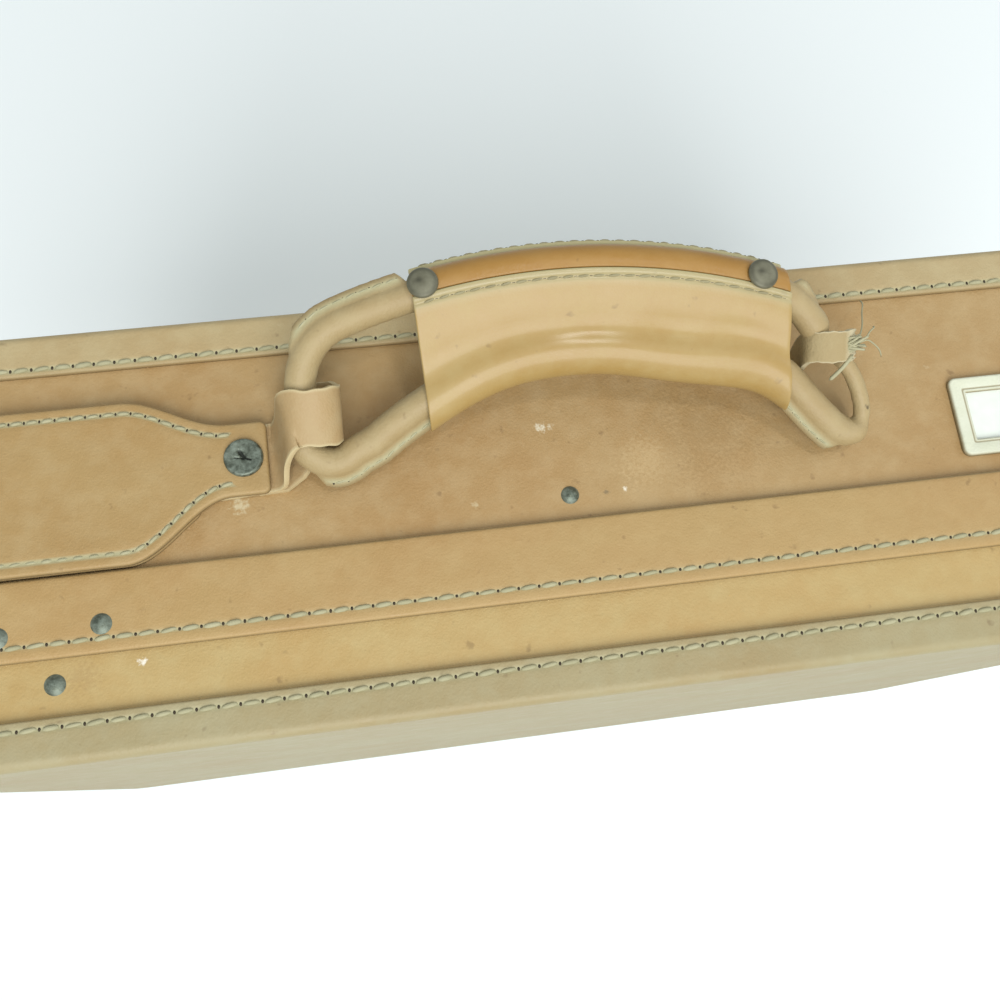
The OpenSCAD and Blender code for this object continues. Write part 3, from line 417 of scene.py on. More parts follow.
waxed_linen = thread_of("waxed_linen_thread", "8f8b69", "bab594")
awl_shadow, tree = blank_material("awl_hole_shadow")
surface(tree, {"Base Color": tone("42382a"), "Roughness": 1.0})


def unit(vectors):
    """Vectors brought to length one."""
    return vectors / np.linalg.norm(vectors, axis=-1, keepdims=True)


def square_to(way, vectors):
    """Vectors less their share along way, brought to length one."""
    return unit(vectors - way * np.sum(vectors * way, axis=-1, keepdims=True))


def capped(name, solids, material, body):
    """Piece of many solids from a (count, m, n, 3) array: each is m rings of n points with two caps."""
    count, m, n = solids.shape[:3]
    faces = quads_of(m, n, loops=True) + [list(range(n))[::-1], list(range(m * n - n, m * n))]
    made = new_piece(name, solids, [[v + m * n * i for v in f] for i in range(count) for f in faces])
    outward(made)
    settle(made, material, body)


def stitches(name, path, normals, body, pitch=0.0060, thick=0.0007, closed=False, thread=waxed_linen,
             hole=1.0, seed=1):
    """Thread and awl holes at equal steps of about pitch along a line on a surface, which has one
    normal for all its points or one for each. A stitch is a sausage of six rings of six points, 0.74
    of the pitch long, turned off the line by 6 degrees and highest in its middle. A low oval plug,
    dark, stands for the hole between two stitches. Turns and sizes vary by a few percent."""
    ups = np.broadcast_to(normals, path.shape)
    line = np.concatenate([path, path[:1]]) if closed else path
    ups = np.concatenate([ups, ups[:1]]) if closed else ups
    run = np.concatenate([[0], np.cumsum(np.linalg.norm(np.diff(line, axis=0), axis=1))])
    count = max(2, int(round(run[-1] / pitch)))
    at = (np.arange(count) + 0.5) * run[-1] / count
    centre, ahead, back, up = [
        np.stack([np.interp(np.clip(s, 0, run[-1]), run, v[:, i]) for i in range(3)], 1)
        for s, v in ((at, line), (at + 2e-4, line), (at - 2e-4, line), (at, ups))]
    way = unit(ahead - back)
    up = square_to(way, up)
    side = np.cross(up, way)
    chance = np.random.default_rng(seed)
    turn = 0.10 + chance.normal(0, 0.04, count)[:, None]
    along = way * np.cos(turn) + side * np.sin(turn)
    across = np.cross(up, along)
    half = (0.37 * pitch * (1 + chance.normal(0, 0.05, count)))[:, None, None, None]
    girth = (thick * (1 + chance.normal(0, 0.08, count)))[:, None, None, None]
    station = np.array([-1.0, -0.86, -0.4, 0.4, 0.86, 1.0])[None, :, None, None]
    taper = np.array([0.25, 0.72, 1.0, 1.0, 0.72, 0.25])[None, :, None, None]
    spin = (np.arange(6) * np.pi / 3)[None, None, :, None]
    rings = (centre[:, None, None] + station * half * along[:, None, None]
             + taper * np.cos(spin) * girth * across[:, None, None]
             + (0.8 * taper * np.sin(spin) + 0.35 - 0.5 * station ** 2) * girth * up[:, None, None])
    capped(name, rings, thread, body)
    round_hole = (0.6 * thick * hole * np.cos(spin[0]) * way[:, None]
                  + 0.9 * thick * hole * np.sin(spin[0]) * side[:, None])
    middle = (centre + 0.5 * run[-1] / count * way)[:, None]
    plugs = np.stack([middle + round_hole + 0.08 * thick * up[:, None],
                      middle + 0.6 * round_hole - 0.5 * thick * up[:, None]], 1)
    capped(name + "_holes", plugs, awl_shadow, body)


def round_case(p, y):
    """The outline of the case grown by p, as a line in space at y, with its outward normals."""
    flat, normal = outline(p)
    return off_wall(flat, normal, 0, y), np.insert(normal, 1, 0.0, axis=1)


hide_p, sunk = 0.002, 0.0002
stitches("back_seam", *round_case(hide_p - sunk, back_y - back_fold + back_seam_in), "body", closed=True,
         seed=3)
stitches("lid_seam", *round_case(hide_p - sunk, front_y + lid_fold - lid_seam_in), "lid", closed=True,
         seed=4)


# Valance. A strip of the same hide, 23 mm wide, is sewn to the lid's walls 4 mm from its front edge
# and laps the body's walls by 10 mm, so that it hides the joint. It stops short of the hinge side.
valance_p, valance_front = 0.0025, -0.0342
valance_wide, valance_seam_in, valance_end_z = 0.023, 0.004, 0.030
strip_hide = bridle_hide("valance_bridle_hide", "ac8f5d", "a47f4e", "b8a072", rough=0.52)

flat, normal = outline(0)
rising = mid_z + flat[:, 1] > valance_end_z
rising[:13] = False
flat, normal = flat[rising], normal[rising]
flat[[0, -1], 1] = valance_end_z - mid_z
across = np.concatenate([[0, 0.0003, 0.0009], np.array([2.2, 3.2, 3.7, 4.0, 4.3, 4.8, 5.8]) * 1e-3,
                         np.linspace(0.008, 0.0215, 6), [0.0222, 0.0227, valance_wide]])
rise = valance_p - np.array([0.7, 0.25, 0.03, 0, 0.06, 0.2, 0.25, 0.2, 0.06, 0, 0, 0, 0, 0, 0, 0.03,
                             0.1, 0.35, 0.8]) * 1e-3
swell = 0.00015 * np.sin(flat[:, 0] * 61 + 0.8) * np.sin(flat[:, 0] * 23)
off = rise[:, None] + swell * across[:, None] / valance_wide
low = np.where(across < 0.0135, 0.0, 0.0003)[:, None]
top, under = [off_wall(flat, normal, p, (valance_front + across)[:, None]) for p in (off, low)]
valance = slab("valance", top, under)
dusty = np.clip(1 - np.abs(across - valance_seam_in) / 0.0009, 0, 1)
raw = np.where((across < 0.0002) | (across > valance_wide - 0.0005), 0.9, 0.0)
mark(valance, "seam", np.concatenate([np.repeat(dusty, len(flat)), np.zeros(top.size // 3)]))
mark(valance, "cut", np.concatenate([np.repeat(raw, len(flat)), np.ones(top.size // 3)]))
outward(valance)
settle(valance, strip_hide, "lid", "lid_valance")
seam_line, seam_up = round_case(valance_p - sunk, valance_front + valance_seam_in)
stitches("valance_seam", seam_line[rising], seam_up[rising], "lid", seed=5)


# Handle tab. Two plies of hide, bottle-shaped, are sewn together 3.5 mm from their edge and to the
# top wall, and narrow to a neck that holds the handle's left chape down.
tab_left, tab_bend, tab_neck, tab_end = -0.1784, -0.134, -0.103, -0.092
tab_low, tab_high = -0.0107, 0.038
neck_y, neck_half = 0.0172, 0.011
lower_ply_end, seam_end = -0.113, tab_end - 0.0095
tab_mid_z, tab_top_z = top_z + 0.002, top_z + 0.0044
tab_hide = bridle_hide("tab_bridle_hide", "a88c5c", "9f7d4b", "b5a076", rough=0.5)


def tab_edges(x):
    """Lower and upper edge of the tab at x: straight, then half a cosine wave to the neck."""
    share = (1 - np.cos(np.pi * np.clip((x - tab_bend) / (tab_neck - tab_bend), 0, 1))) / 2
    return (tab_low + (neck_y - neck_half - tab_low) * share,
            tab_high + (neck_y + neck_half - tab_high) * share)


def tab_outline(inset):
    """Closed line parallel to the tab's edge, inset from it: up the left end, along the upper edge,
    down the neck's end and back. The corners' radii, 3 and 2 mm, shrink by the inset."""
    left_r, neck_r = max(0.003 - inset, 0.0003), max(0.002 - inset, 0.0003)
    left, right = tab_left + inset, tab_end - inset
    x = np.linspace(left + left_r, right - neck_r, 76)
    low, high = tab_edges(x)
    off = inset * np.sqrt(1 + np.gradient(high, x) ** 2)
    low, high = low + off, high - off
    quarter = np.linspace(0, np.pi / 2, 7)[1:-1]
    swing, tilt = 1 - np.cos(quarter), 1 - np.sin(quarter)
    side = np.linspace(0, 1, 32)
    return np.concatenate([
        np.stack([np.full(32, left), low[0] + left_r + side * (high[0] - low[0] - 2 * left_r)], 1),
        np.stack([left + left_r * swing, high[0] - left_r * tilt], 1),
        np.stack([x, high], 1),
        np.stack([right - neck_r * tilt, high[-1] - neck_r * swing], 1),
        np.stack([np.full(16, right), high[-1] - neck_r - side[::2] * (high[-1] - low[-1] - 2 * neck_r)], 1),
        np.stack([right - neck_r * tilt[::-1], low[-1] + neck_r * swing[::-1]], 1),
        np.stack([x, low], 1)[::-1],
        np.stack([left + left_r * swing[::-1], low[0] + left_r * tilt[::-1]], 1)])


def tab_ply(name, low_z, high_z, end_x, curl):
    """One ply. Rings step in from the edge and up its rounded side, dip 0.26 mm at the seam, and
    then draw together on the ply's middle line, as they do on the flat underside. curl lifts the
    edge near the lid."""
    inset = np.array([0, 0, 0.15, 0.5, 1.0, 2.4, 3.0, 3.5, 4.0, 4.6, 6.0]) * 1e-3
    seam_dip = 0.00026
    drop = np.array([high_z - low_z - 0.0003, 0.0009, 0.0004, 0.00012, 0.00002, 0, 0.0002, seam_dip,
                     0.0002, 0, 0])
    sewn = tab_outline(0)[:, 0] < seam_end
    rings = []
    for step, fall in zip(inset, drop):
        fall = fall * np.where(step > 0.002, sewn, 1)
        rings.append(np.concatenate([tab_outline(step), (high_z - fall)[:, None]], 1))
    edge = rings[-1]
    share = np.array([0.1, 0.25, 0.45, 0.7, 1.0])[:, None, None]
    at = np.clip(edge[:, 0], tab_left + 0.012, tab_end - 0.008)
    middle = np.stack([at, np.mean(tab_edges(at), 0), np.full(len(at), high_z)], 1)
    grid = np.concatenate([np.array(rings), edge + share * (middle - edge)])
    lift = curl * np.sin(np.clip((grid[..., 0] - tab_left) / (tab_bend - tab_left), 0, 1.4) * 2.1 + 0.4)
    grid[..., 2] += lift * np.clip((neck_y - grid[..., 1]) / 0.028, 0, 1) ** 2
    grid[..., 0] = np.minimum(grid[..., 0], end_x)
    below = grid[-1:0:-5].copy()
    below[..., 2] = low_z
    made = tube(name, np.concatenate([below, grid]))
    bare = np.zeros(len(below))
    seam = np.concatenate([bare, np.clip(drop / seam_dip, 0, 1) * (inset > 0.002), np.zeros(len(share))])
    raw = np.concatenate([bare + 1, [0.9, 0.9, 0.4], np.zeros(len(grid) - 3)])
    mark(made, "seam", (seam[:, None] * sewn).ravel())
    mark(made, "cut", np.repeat(raw, len(edge)))
    outward(made, merge=1e-6)
    return made


settle(tab_ply("tab_lower_ply", top_z, tab_mid_z, lower_ply_end, 0.0), tab_hide, "body",
       "handle_tab_base")
settle(tab_ply("tab_upper_ply", tab_mid_z, tab_top_z, tab_end, 0.0005), tab_hide, "body", "handle_tab")


def true_runs(flags):
    """Numbers of each unbroken run of true values in a closed line."""
    starts = np.where(flags & ~np.roll(flags, 1))[0]
    return [np.arange(s, s + int(np.argmin(np.roll(flags, -s)))) % len(flags) for s in starts]


sewn = tab_outline(0.0035)
sewn = np.concatenate([sewn, np.full((len(sewn), 1), tab_top_z - 0.0001)], 1)
sewn = sewn[true_runs(sewn[:, 0] < seam_end)[0]]
stitches("tab_seam", sewn, (0.0, 0.0, 1.0), "body", pitch=0.0043, thick=0.00055, seed=6)


# Handle ring. A strip of hide is rolled round a hemp rope and sewn along a flange on the outside of
# the ring; the flange is pared away where the grip and the chapes go, and ends in two points below.
rest_tilt = np.radians(60)
skew = np.radians(2.8)
pivot = np.array([0.0, 0.008, top_z + 0.007])
tube_r = 0.0045
ring_top_r, ring_top_c = 0.195, -0.142
ring_low_r, ring_low_c = 0.095, -0.064
bar_x, bar_low_u, bar_high_u = 0.081, 0.00866, 0.02339
bend_top_r, bend_low_r = 0.018, 0.008
top_sweep, low_sweep = np.radians(20.86), np.radians(45.13)


def at_rest(x, u, n):
    """Place in space of a point of the resting handle, x along the swing axis, u up the handle and n
    before its plane: turned down by the tilt, round by the skew, and moved to the swing axis."""
    y = u * np.sin(rest_tilt) - n * np.cos(rest_tilt)
    z = u * np.cos(rest_tilt) + n * np.sin(rest_tilt)
    return np.stack(np.broadcast_arrays(
        pivot[0] + x * np.cos(skew) + y * np.sin(skew),
        pivot[1] - x * np.sin(skew) + y * np.cos(skew), pivot[2] + z), -1)


def arc(cx, cu, r, start, end):
    """Points of an arc in the handle's plane, every 1.1 mm, without its last one."""
    count = max(3, int(abs(end - start) * r / 0.0011))
    angle = np.linspace(start, end, count, endpoint=False)
    return np.stack([cx + r * np.cos(angle), cu + r * np.sin(angle)], 1)


quarter = np.pi / 2
half_ring = [
    arc(0, ring_top_c, ring_top_r, quarter, quarter - top_sweep),
    arc(bar_x - bend_top_r, bar_high_u, bend_top_r, quarter - top_sweep, 0),
    np.stack([np.full(12, bar_x), np.linspace(bar_high_u, bar_low_u, 13)[:-1]], 1),
    arc(bar_x - bend_low_r, bar_low_u, bend_low_r, 0, -quarter - low_sweep),
    arc(0, ring_low_c, ring_low_r, quarter - low_sweep, quarter)]
right_line = np.concatenate(half_ring)
lengths = [len(p) for p in half_ring]
mirror = np.array([-1.0, 1.0])
ring_line = np.concatenate([right_line, [[0, ring_low_c + ring_low_r]], right_line[:0:-1] * mirror])

grip_low = np.array([[-0.043, -0.005], [0.0612, -0.005]])
grip_high = np.array([[-0.050, 0.070], [0.0590, 0.070]])


def in_grip(points, margin):
    """Signed distance, in metres along x, that points lie inside the grip's slanted ends, and margin."""
    share = (points[:, 1] - grip_low[0, 1]) / (grip_high[0, 1] - grip_low[0, 1])
    left = grip_low[0, 0] + share * (grip_high[0, 0] - grip_low[0, 0])
    right = grip_low[1, 0] + share * (grip_high[1, 0] - grip_low[1, 0])
    return np.minimum(points[:, 0] - left, right - points[:, 0]) + margin


def eased(t):
    """Smooth step from 0 to 1 while t goes from 0 to 1: 3 t squared less 2 t cubed."""
    t = np.clip(t, 0, 1)
    return t * t * (3 - 2 * t)


def worn(points):
    """The handle's lower limb bent by wear: it sags by 2.5 mm on the left, though not where it would
    reach the wall, and has risen by 11 mm at the grip's right end, where the chape is torn."""
    x, u = points[:, 0], points[:, 1]
    most_sag, most_lift = 0.0025, 0.011
    sag = most_sag * eased((-x - 0.015) / 0.03) * eased((u - 0.002) / 0.008)
    lift = most_lift * eased((x - 0.016) / 0.048) - sag
    return points + np.stack([0 * x, eased((0.044 - u) / 0.03) * lift], 1)


# Share of the flange along the unworn half: it ends with the upper bend, and starts again in a point
# two thirds of the way round the lower one.
bar_zone = np.ones(len(right_line))
second, third = np.cumsum(lengths)[1:3]
bar_zone[second - 6:] = 0
bar_zone[second - 12:second - 6] = np.linspace(1, 0, 6)
tip = third + int(0.66 * lengths[3])
bar_zone[tip:] = 1
bar_zone[tip - 2:tip] = (0.35, 0.8)

# The ring's right end, pulled out of shape, from above its upper bend round to the grip's lower end:
# x and u in millimetres.
ring_line = worn(ring_line)
torn_bend = np.array([
    [50.0, 46.5], [56.5, 44.6], [63.5, 40.5], [68.8, 34.5], [72.0, 28.8], [75.6, 25.2], [79.7, 22.0],
    [83.0, 16.5], [85.4, 9.5], [85.8, 4.4], [83.2, 0.8], [78.8, 1.0], [71.6, 7.8], [66.0, 14.0],
    [61.2, 19.6]]) / 1000
reach = np.concatenate([[0], np.cumsum(np.hypot(*np.diff(torn_bend, axis=0).T))])
start = int(np.argmax(right_line[:, 0] > torn_bend[0, 0]))
stop = len(right_line) - int(np.argmax(right_line[::-1, 0] > grip_low[1, 0]))
along = np.interp(np.arange(len(ring_line)), [start, stop], [0, reach[-1]])
torn_line = np.stack([np.interp(along, reach, value) for value in torn_bend.T], 1)
ring_line[start:stop] = torn_line[start:stop]
window = np.hanning(11) / np.hanning(11).sum()
looped = np.concatenate([ring_line[-5:], ring_line, ring_line[:5]])
smooth = np.stack([np.convolve(value, window, "valid") for value in looped.T], 1)
ring_line[start - 4:stop + 4] = smooth[start - 4:stop + 4]

# The torn bend is thinned from 24 to 58 mm along it, and bears the flange up to 12 and from 67 mm.
girth = 1 - 0.46 * (eased((along - 0.024) / 0.006) - eased((along - 0.058) / 0.005))
torn_zone = np.clip(1 - (along - 0.012) / 0.008, 0, 1) + np.clip((along - 0.067) / 0.002, 0, 1)
flange = np.concatenate([torn_zone[:len(right_line)], [1], bar_zone[:0:-1]])
flange *= np.clip(1 - in_grip(ring_line, 0.0018) / 0.0006, 0, 1)
ring_way = unit(np.roll(ring_line, -1, 0) - np.roll(ring_line, 1, 0))
ring_out = ring_way[:, ::-1] * mirror

phi = np.linspace(0, 2 * np.pi, 40, endpoint=False)
circle = np.stack([np.cos(phi), np.sin(phi)], 1) * tube_r
keyhole = circle.copy()
flange_out, flange_half, seam_out = 0.0075, 0.0015, 0.0057
# Keyhole section: the points of the circle near its outer side are drawn out into the flange.
near = (np.abs(np.sin(phi)) * tube_r < 0.0024) & (np.cos(phi) > 0)
order = np.argsort(np.where(phi > np.pi, phi - 2 * np.pi, phi)[near])
edge_t = np.linspace(-1, 1, int(near.sum()))
steps = [0, 0.34, 0.5, 0.75, 1.0]
shape_o = np.interp(np.abs(edge_t), steps, [flange_out, flange_out - 0.0001, 0.0068, 0.0052, 0.00405])
shape_n = np.sign(edge_t) * np.interp(np.abs(edge_t), steps, [0, 0.0011, flange_half, flange_half, 0.0021])
keyhole[np.where(near)[0][order]] = np.stack([shape_o, shape_n], 1)
station = np.arange(len(ring_line))
gather = 0.00007 * np.sin(station * 1.9) * np.sin(station * 0.23)
profile = circle * (girth + gather / tube_r)[:, None, None] + flange[:, None, None] * (keyhole - circle)
spot = ring_line[:, None] + profile[..., :1] * ring_out[:, None]
# The smaller dark mark, 4a4030, is painted shade in a small hole by the ring's torn right end.
ring_hide = bridle_hide("rolled_bridle_hide", "a69269", "9d8459", "b8aa83", rough=0.55, scuffs=0.6,
                        marks=((tuple(at_rest(0.0895, 0.0010, 0.0020)), 0.0030, "5b5240", 0.7),
                               (tuple(at_rest(0.0862, 0.0085, 0.0026)), 0.0009, "4a4030", 0.8)))
ring = tube("ring_leather", at_rest(spot[..., 0], spot[..., 1], profile[..., 1]), endless=True)
dust = np.exp(-((profile[..., 0] - seam_out) / 0.0006) ** 2) * flange[:, None]
mark(ring, "seam", dust)
mark(ring, "cut", 0.8 * np.clip((profile[..., 0] - 0.0070) / 0.0003, 0, 1) * flange[:, None])
outward(ring)
settle(ring, ring_hide, "handle", "handle_ring", "handle_core")


face_up = at_rest(0.0, 0.0, 1.0) - at_rest(0.0, 0.0, 0.0)
long_runs = [run for run in true_runs(flange > 0.95) if len(run) > 6]
for number, run in enumerate(long_runs):
    for face in (-1, 1):
        line = ring_line[run] + seam_out * ring_out[run]
        stitches(f"ring_seam_{number}_{'front' if face > 0 else 'back'}",
                 at_rest(line[:, 0], line[:, 1], face * (flange_half - 0.0001)), face * face_up,
                 "handle", pitch=0.0040, thick=0.00036, hole=1.5, seed=20 + number)


# Grip. A sleeve of hide is wrapped wet round both limbs of the ring and drawn in between them; its
# two edges are sewn down either side of a narrow strip of darker hide on the crown.
grip_r, grip_in = 0.0069, 0.0046
strip_top_r, strip_under_r, grip_seam_in = 0.0061, 0.0047, 0.002
strip_back, strip_front = np.radians(16), np.radians(88)
share = np.linspace(0, 1, 96)[:, None]
grip_foot = grip_low[0] + share * (grip_low[1] - grip_low[0])
grip_head = grip_high[0] + share * (grip_high[1] - grip_high[0])
rib = unit(grip_head - grip_foot)


def meet(centre_u, radius):
    """Where each section line crosses a limb, and the stretch of the limb's section along it: the
    farther root of the line and circle equation, and one over the cosine between line and radius."""
    off = grip_foot - np.array([0, centre_u])
    b = -np.sum(off * rib, 1)
    t = b + np.sqrt(b * b - np.sum(off * off, 1) + radius * radius)
    hit = grip_foot + t[:, None] * rib
    out = (hit - np.array([0, centre_u])) / radius
    return hit, 1 / np.sum(out * rib, 1)


high_hit, high_stretch = meet(ring_top_c, ring_top_r)
low_hit, low_stretch = meet(ring_low_c, ring_low_r)
low_hit = worn(low_hit)
span = np.linalg.norm(low_hit - high_hit, axis=1)[:, None]


def section(radius, angles, which, extra=0.0):
    """Points of the grip's section at angles from the crown, round the upper or the lower limb: along
    the section line by radius times cosine times stretch, off the plane by radius times sine."""
    hit, stretch = (high_hit, high_stretch) if which == "high" else (low_hit, low_stretch)
    r = radius + np.broadcast_to(extra, (len(hit), len(angles)))
    flat = hit[:, None] + (r * np.cos(angles) * stretch[:, None])[..., None] * rib[:, None]
    return at_rest(flat[..., 0], flat[..., 1], r * np.sin(angles))


def grip_side(half, front, lips=0.0):
    """Side between the limbs, v going from 0 at the upper to 1 at the lower. It is drawn in by up to
    2.3 mm times the squared sine of pi v squared, waving a little along the grip. Lips raise its edge
    and sink a groove 2 mm from it."""
    near = np.array([0.3, 0.8, 1.3, 1.7, 2.0, 2.3, 2.8, 3.6]) * 1e-3 / span
    far = near[:, -1:] + np.linspace(0, 1, 14)[1:-1] * (1 - near[:, -1:])
    v = np.concatenate([near, far], 1)
    wave = 1 + 0.15 * np.sin(share * 9 + 1) + 0.06 * np.sin(share * 31)
    depth = half - 0.0019 * np.sin(np.pi * np.clip(v * v, 0, 1)) ** 2 * wave
    depth = depth + lips * np.interp(v * span, [0, 0.0008, 0.0014, 0.002, 0.0026, 0.0034],
                                     [0.0001, 0.0003, 0.0001, -0.0003, 0.0001, 0])
    flat = high_hit[:, None] + v[..., None] * (low_hit - high_hit)[:, None]
    placed = at_rest(flat[..., 0], flat[..., 1], depth * (1 if front else -1))
    return placed if front else placed[:, ::-1]


def wrap(radius, lips):
    """The whole wrap from the strip's front edge: down the front, round below, where a roll 1.6 mm
    high goes by a squared sine, and up the back to its lip."""
    below = np.linspace(np.pi / 2, 3 * np.pi / 2, 24)
    back = np.linspace(3 * np.pi / 2, 2 * np.pi - strip_back, 16)
    back_lip = lips * np.interp(2 * np.pi - strip_back - back, [0, 0.1, 0.2, 0.28, 0.4],
                                [0.0005, 0.0009, 0.0003, -0.0002, 0])
    roll = 0.0016 * np.sin(below - np.pi / 2) ** 2
    return np.concatenate([section(radius, np.array([strip_front]), "high"), grip_side(radius, True, lips),
                           section(radius, below, "low", roll), grip_side(radius, False),
                           section(radius, back, "high", back_lip)], 1)


grip_hide = bridle_hide("grip_bridle_hide", "a88d56", "9f7e41", "b3a06f", rough=0.5, grain=0.4,
                        scuffs=0.7, raw="b9b083", coat=0.3)
outside = wrap(grip_r, 1)
sleeve = slab("grip_wrap", outside, wrap(grip_in, 0))
columns = outside.shape[1]
column = np.arange(columns)
band = 0.55 * np.clip((8.5 - column) / 1.5, 0, 1) + np.exp(-((column - (columns - 2.5)) / 2.0) ** 2)
raw = np.where((column < 1) | (column > columns - 3), 0.9, 0.0)
inner = np.zeros(len(share) * columns)
mark(sleeve, "seam", np.concatenate([np.tile(np.clip(band, 0, 1), len(share)), inner]))
mark(sleeve, "cut", np.concatenate([np.tile(raw, len(share)), inner + 1]))
outward(sleeve)
soften(sleeve, 0.0005)
settle(sleeve, grip_hide, "handle", "grip_sleeve", "grip_filler")

strip_angles = np.linspace(-strip_back, strip_front, 24)
crown = 0.0003 * np.sin(np.linspace(0, np.pi, 24))
dark_hide = bridle_hide("strip_bridle_hide", "a0783a", "946a2f", "ad8a50", rough=0.4, grain=0.6, scuffs=0.4)
strip = slab("grip_crown_strip", section(strip_top_r, strip_angles, "high", crown),
             section(strip_under_r, strip_angles, "high"))
outward(strip)
soften(strip, 0.0004)
settle(strip, dark_hide, "handle", "grip_strip")

dark_linen = thread_of("dark_linen_thread", "7d7355", "a79f7c")
thread_at = high_hit + grip_seam_in / span * (low_hit - high_hit)
thread_at = thread_at[2:-2]
stitches("grip_seam_front", at_rest(thread_at[:, 0], thread_at[:, 1], grip_r - sunk), face_up, "handle",
         pitch=0.0044, thick=0.0004, thread=dark_linen, hole=1.8, seed=30)
edge_angle = np.array([-strip_back - 0.12])
line = section(grip_r + 0.0007, edge_angle, "high")[2:-2, 0]
away = section(grip_r + 0.01, edge_angle, "high")[2:-2, 0] - line
stitches("grip_seam_back", line, unit(away), "handle", pitch=0.0044, thick=0.00045, thread=dark_linen,
         hole=1.8, seed=31)


# Rivets. Brass once, now grey-green with tarnish. The grip has two domed ones; the left chape a broad
# one, dished and split in three rays; the keepers have three on each side, and the wall one stud.
aged_brass, tree = blank_material("tarnished_brass")
tarnish = noise(tree, 420.0, 6.0, 0.7)
colour = between(tree, ramp(tree, tarnish, 0.4, 0.65), "61675a", "7f897c")
surface(tree, None, {"Base Color": between(tree, layer_of(tree, "dent"), colour, "2f332c"),
                     "Roughness": ramp(tree, tarnish, 0.4, 0.65, 0.36, 0.62),
                     "Metallic": ramp(tree, tarnish, 0.4, 0.65, 0.85, 0.25),
                     "Normal": bumped(tree, tarnish, 0.4, 0.0003)})
dress(aged_brass, "right_chape_rivet", "wall_stud", "feet", "catch_plate_rivets", "keeper_rivets",
      *[f"{side}_{part}" for side in ("left", "right") for part in ("catch_plate", "thumb_slide")])


def turned_head(name, base, axis, profile, body, dent=None, metal=aged_brass):
    """Head turned about axis from base: profile is (radius, height) from the middle of the top to the
    middle of the underside. dent gives a fall and a dark share for each radius and angle."""
    axis = unit(np.array(axis))
    first = unit(np.cross(axis, [0.0, 1.0, 0.0]))
    second = np.cross(axis, first)
    around = 48
    spin = np.linspace(0, 2 * np.pi, around, endpoint=False)
    r = np.array(profile)[:, :1]
    h = np.repeat(np.array(profile)[:, 1:], around, 1)
    shade = np.zeros_like(h)
    if dent:
        fall, shade = dent(np.repeat(r, around, 1), np.repeat(spin[None], len(r), 0), h)
        h = h - fall
    grid = (np.array(base) + (r * np.cos(spin))[..., None] * first + (r * np.sin(spin))[..., None] * second
            + h[..., None] * axis)
    made = tube(name, grid)
    mark(made, "dent", shade)
    outward(made, merge=1e-6)
    settle(made, metal, body)
    return made


def star(r, angle, height):
    """A split in the middle of a dished head, 0.5 mm deep along three rays: it reaches 1 mm plus 1.9 mm
    times the fourth power of the cosine of 2.5 times the angle, which is bent a little."""
    reach = 0.0010 + 0.0019 * np.maximum(0, np.cos(2.5 * angle + 0.6 * np.sin(2 * angle))) ** 4
    inside = np.clip((reach - r) / 0.0004, 0, 1) * (height > 0.0005)
    return 0.0005 * inside, inside


big_r, dish_r, neck_rivet_x = 0.00575, 0.86 * 0.00575, -0.099
profile = [(dish_r * s, 0.0009 + 0.0004 * s * s) for s in np.linspace(0, 1, 15)]
profile += [(dish_r + (big_r - dish_r) * np.sin(a), 0.0013 * np.cos(a) ** 0.7) for a in
            np.linspace(0.2, np.pi / 2 - 0.001, 7)]
profile += [(big_r * 0.96, 0), (0.002, 0), (0.002, -0.0104), (0.004, -0.0104), (0.004, -0.0112),
            (0.0, -0.0112)]
neck_rivet = turned_head("neck_rivet", (neck_rivet_x, neck_y, tab_top_z), (0, 0, 1), profile, "body",
                         star)
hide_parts("left_chape_rivet")


def worn_pits(r, angle, height):
    """A hollow beside the middle of a head, a bell curve 0.2 mm deep, and a worn ring near its rim,
    both darker."""
    across, along = r * np.cos(angle), r * np.sin(angle)
    hollow = np.exp(-((across - 0.0009) ** 2 + 2 * (along + 0.0006) ** 2) / 1.4e-6)
    shade = np.clip(0.7 * hollow + 0.4 * np.exp(-((r - 0.0037) / 0.0005) ** 2), 0, 1) * (height > 0.0003)
    return 0.0002 * hollow * (height > 0.0003), shade


blackened, tree = blank_material("blackened_brass")
colour = between(tree, noise(tree, 600.0, 5.0), "5d5b48", "85836f")
surface(tree, {"Roughness": 0.5, "Metallic": 0.4},
        {"Base Color": between(tree, layer_of(tree, "dent"), colour, "38362a")})

rivet_turn = np.radians(64)
dome_r, shank_r, shank_h = 0.0044, 0.0012, -0.0024
flat_dome = [(dome_r * np.sin(a), 0.00012 + 0.0016 * np.cos(a) ** 0.8) for a in
             np.linspace(0.0, np.pi / 2 - 0.001, 12)]
flat_dome += [(dome_r, 0.0), (shank_r, 0.0), (shank_r, shank_h), (0.0, shank_h)]
for name, x in (("left_grip_rivet", -0.0442), ("right_grip_rivet", 0.0505)):
    lean = np.arcsin(x / ring_top_r)
    out = np.array([np.sin(lean), np.cos(lean)])
    foot = np.array([0, ring_top_c]) + (ring_top_r + grip_r * np.cos(rivet_turn)) * out
    axis = at_rest(*(out * np.cos(rivet_turn)), np.sin(rivet_turn)) - at_rest(0.0, 0.0, 0.0)
    rivet = turned_head(name, at_rest(*foot, grip_r * np.sin(rivet_turn)), axis, flat_dome, "handle",
                        worn_pits, blackened)
    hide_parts("grip_rivets")


# Left chape. A doubled strap comes from under the neck of the tab, turns up and back, goes round the
# ring's left bar and returns beneath itself.
origin = at_rest(0.0, 0.0, 0.0)
along_x, along_bar = at_rest(1.0, 0.0, 0.0) - origin, at_rest(0.0, 1.0, 0.0) - origin


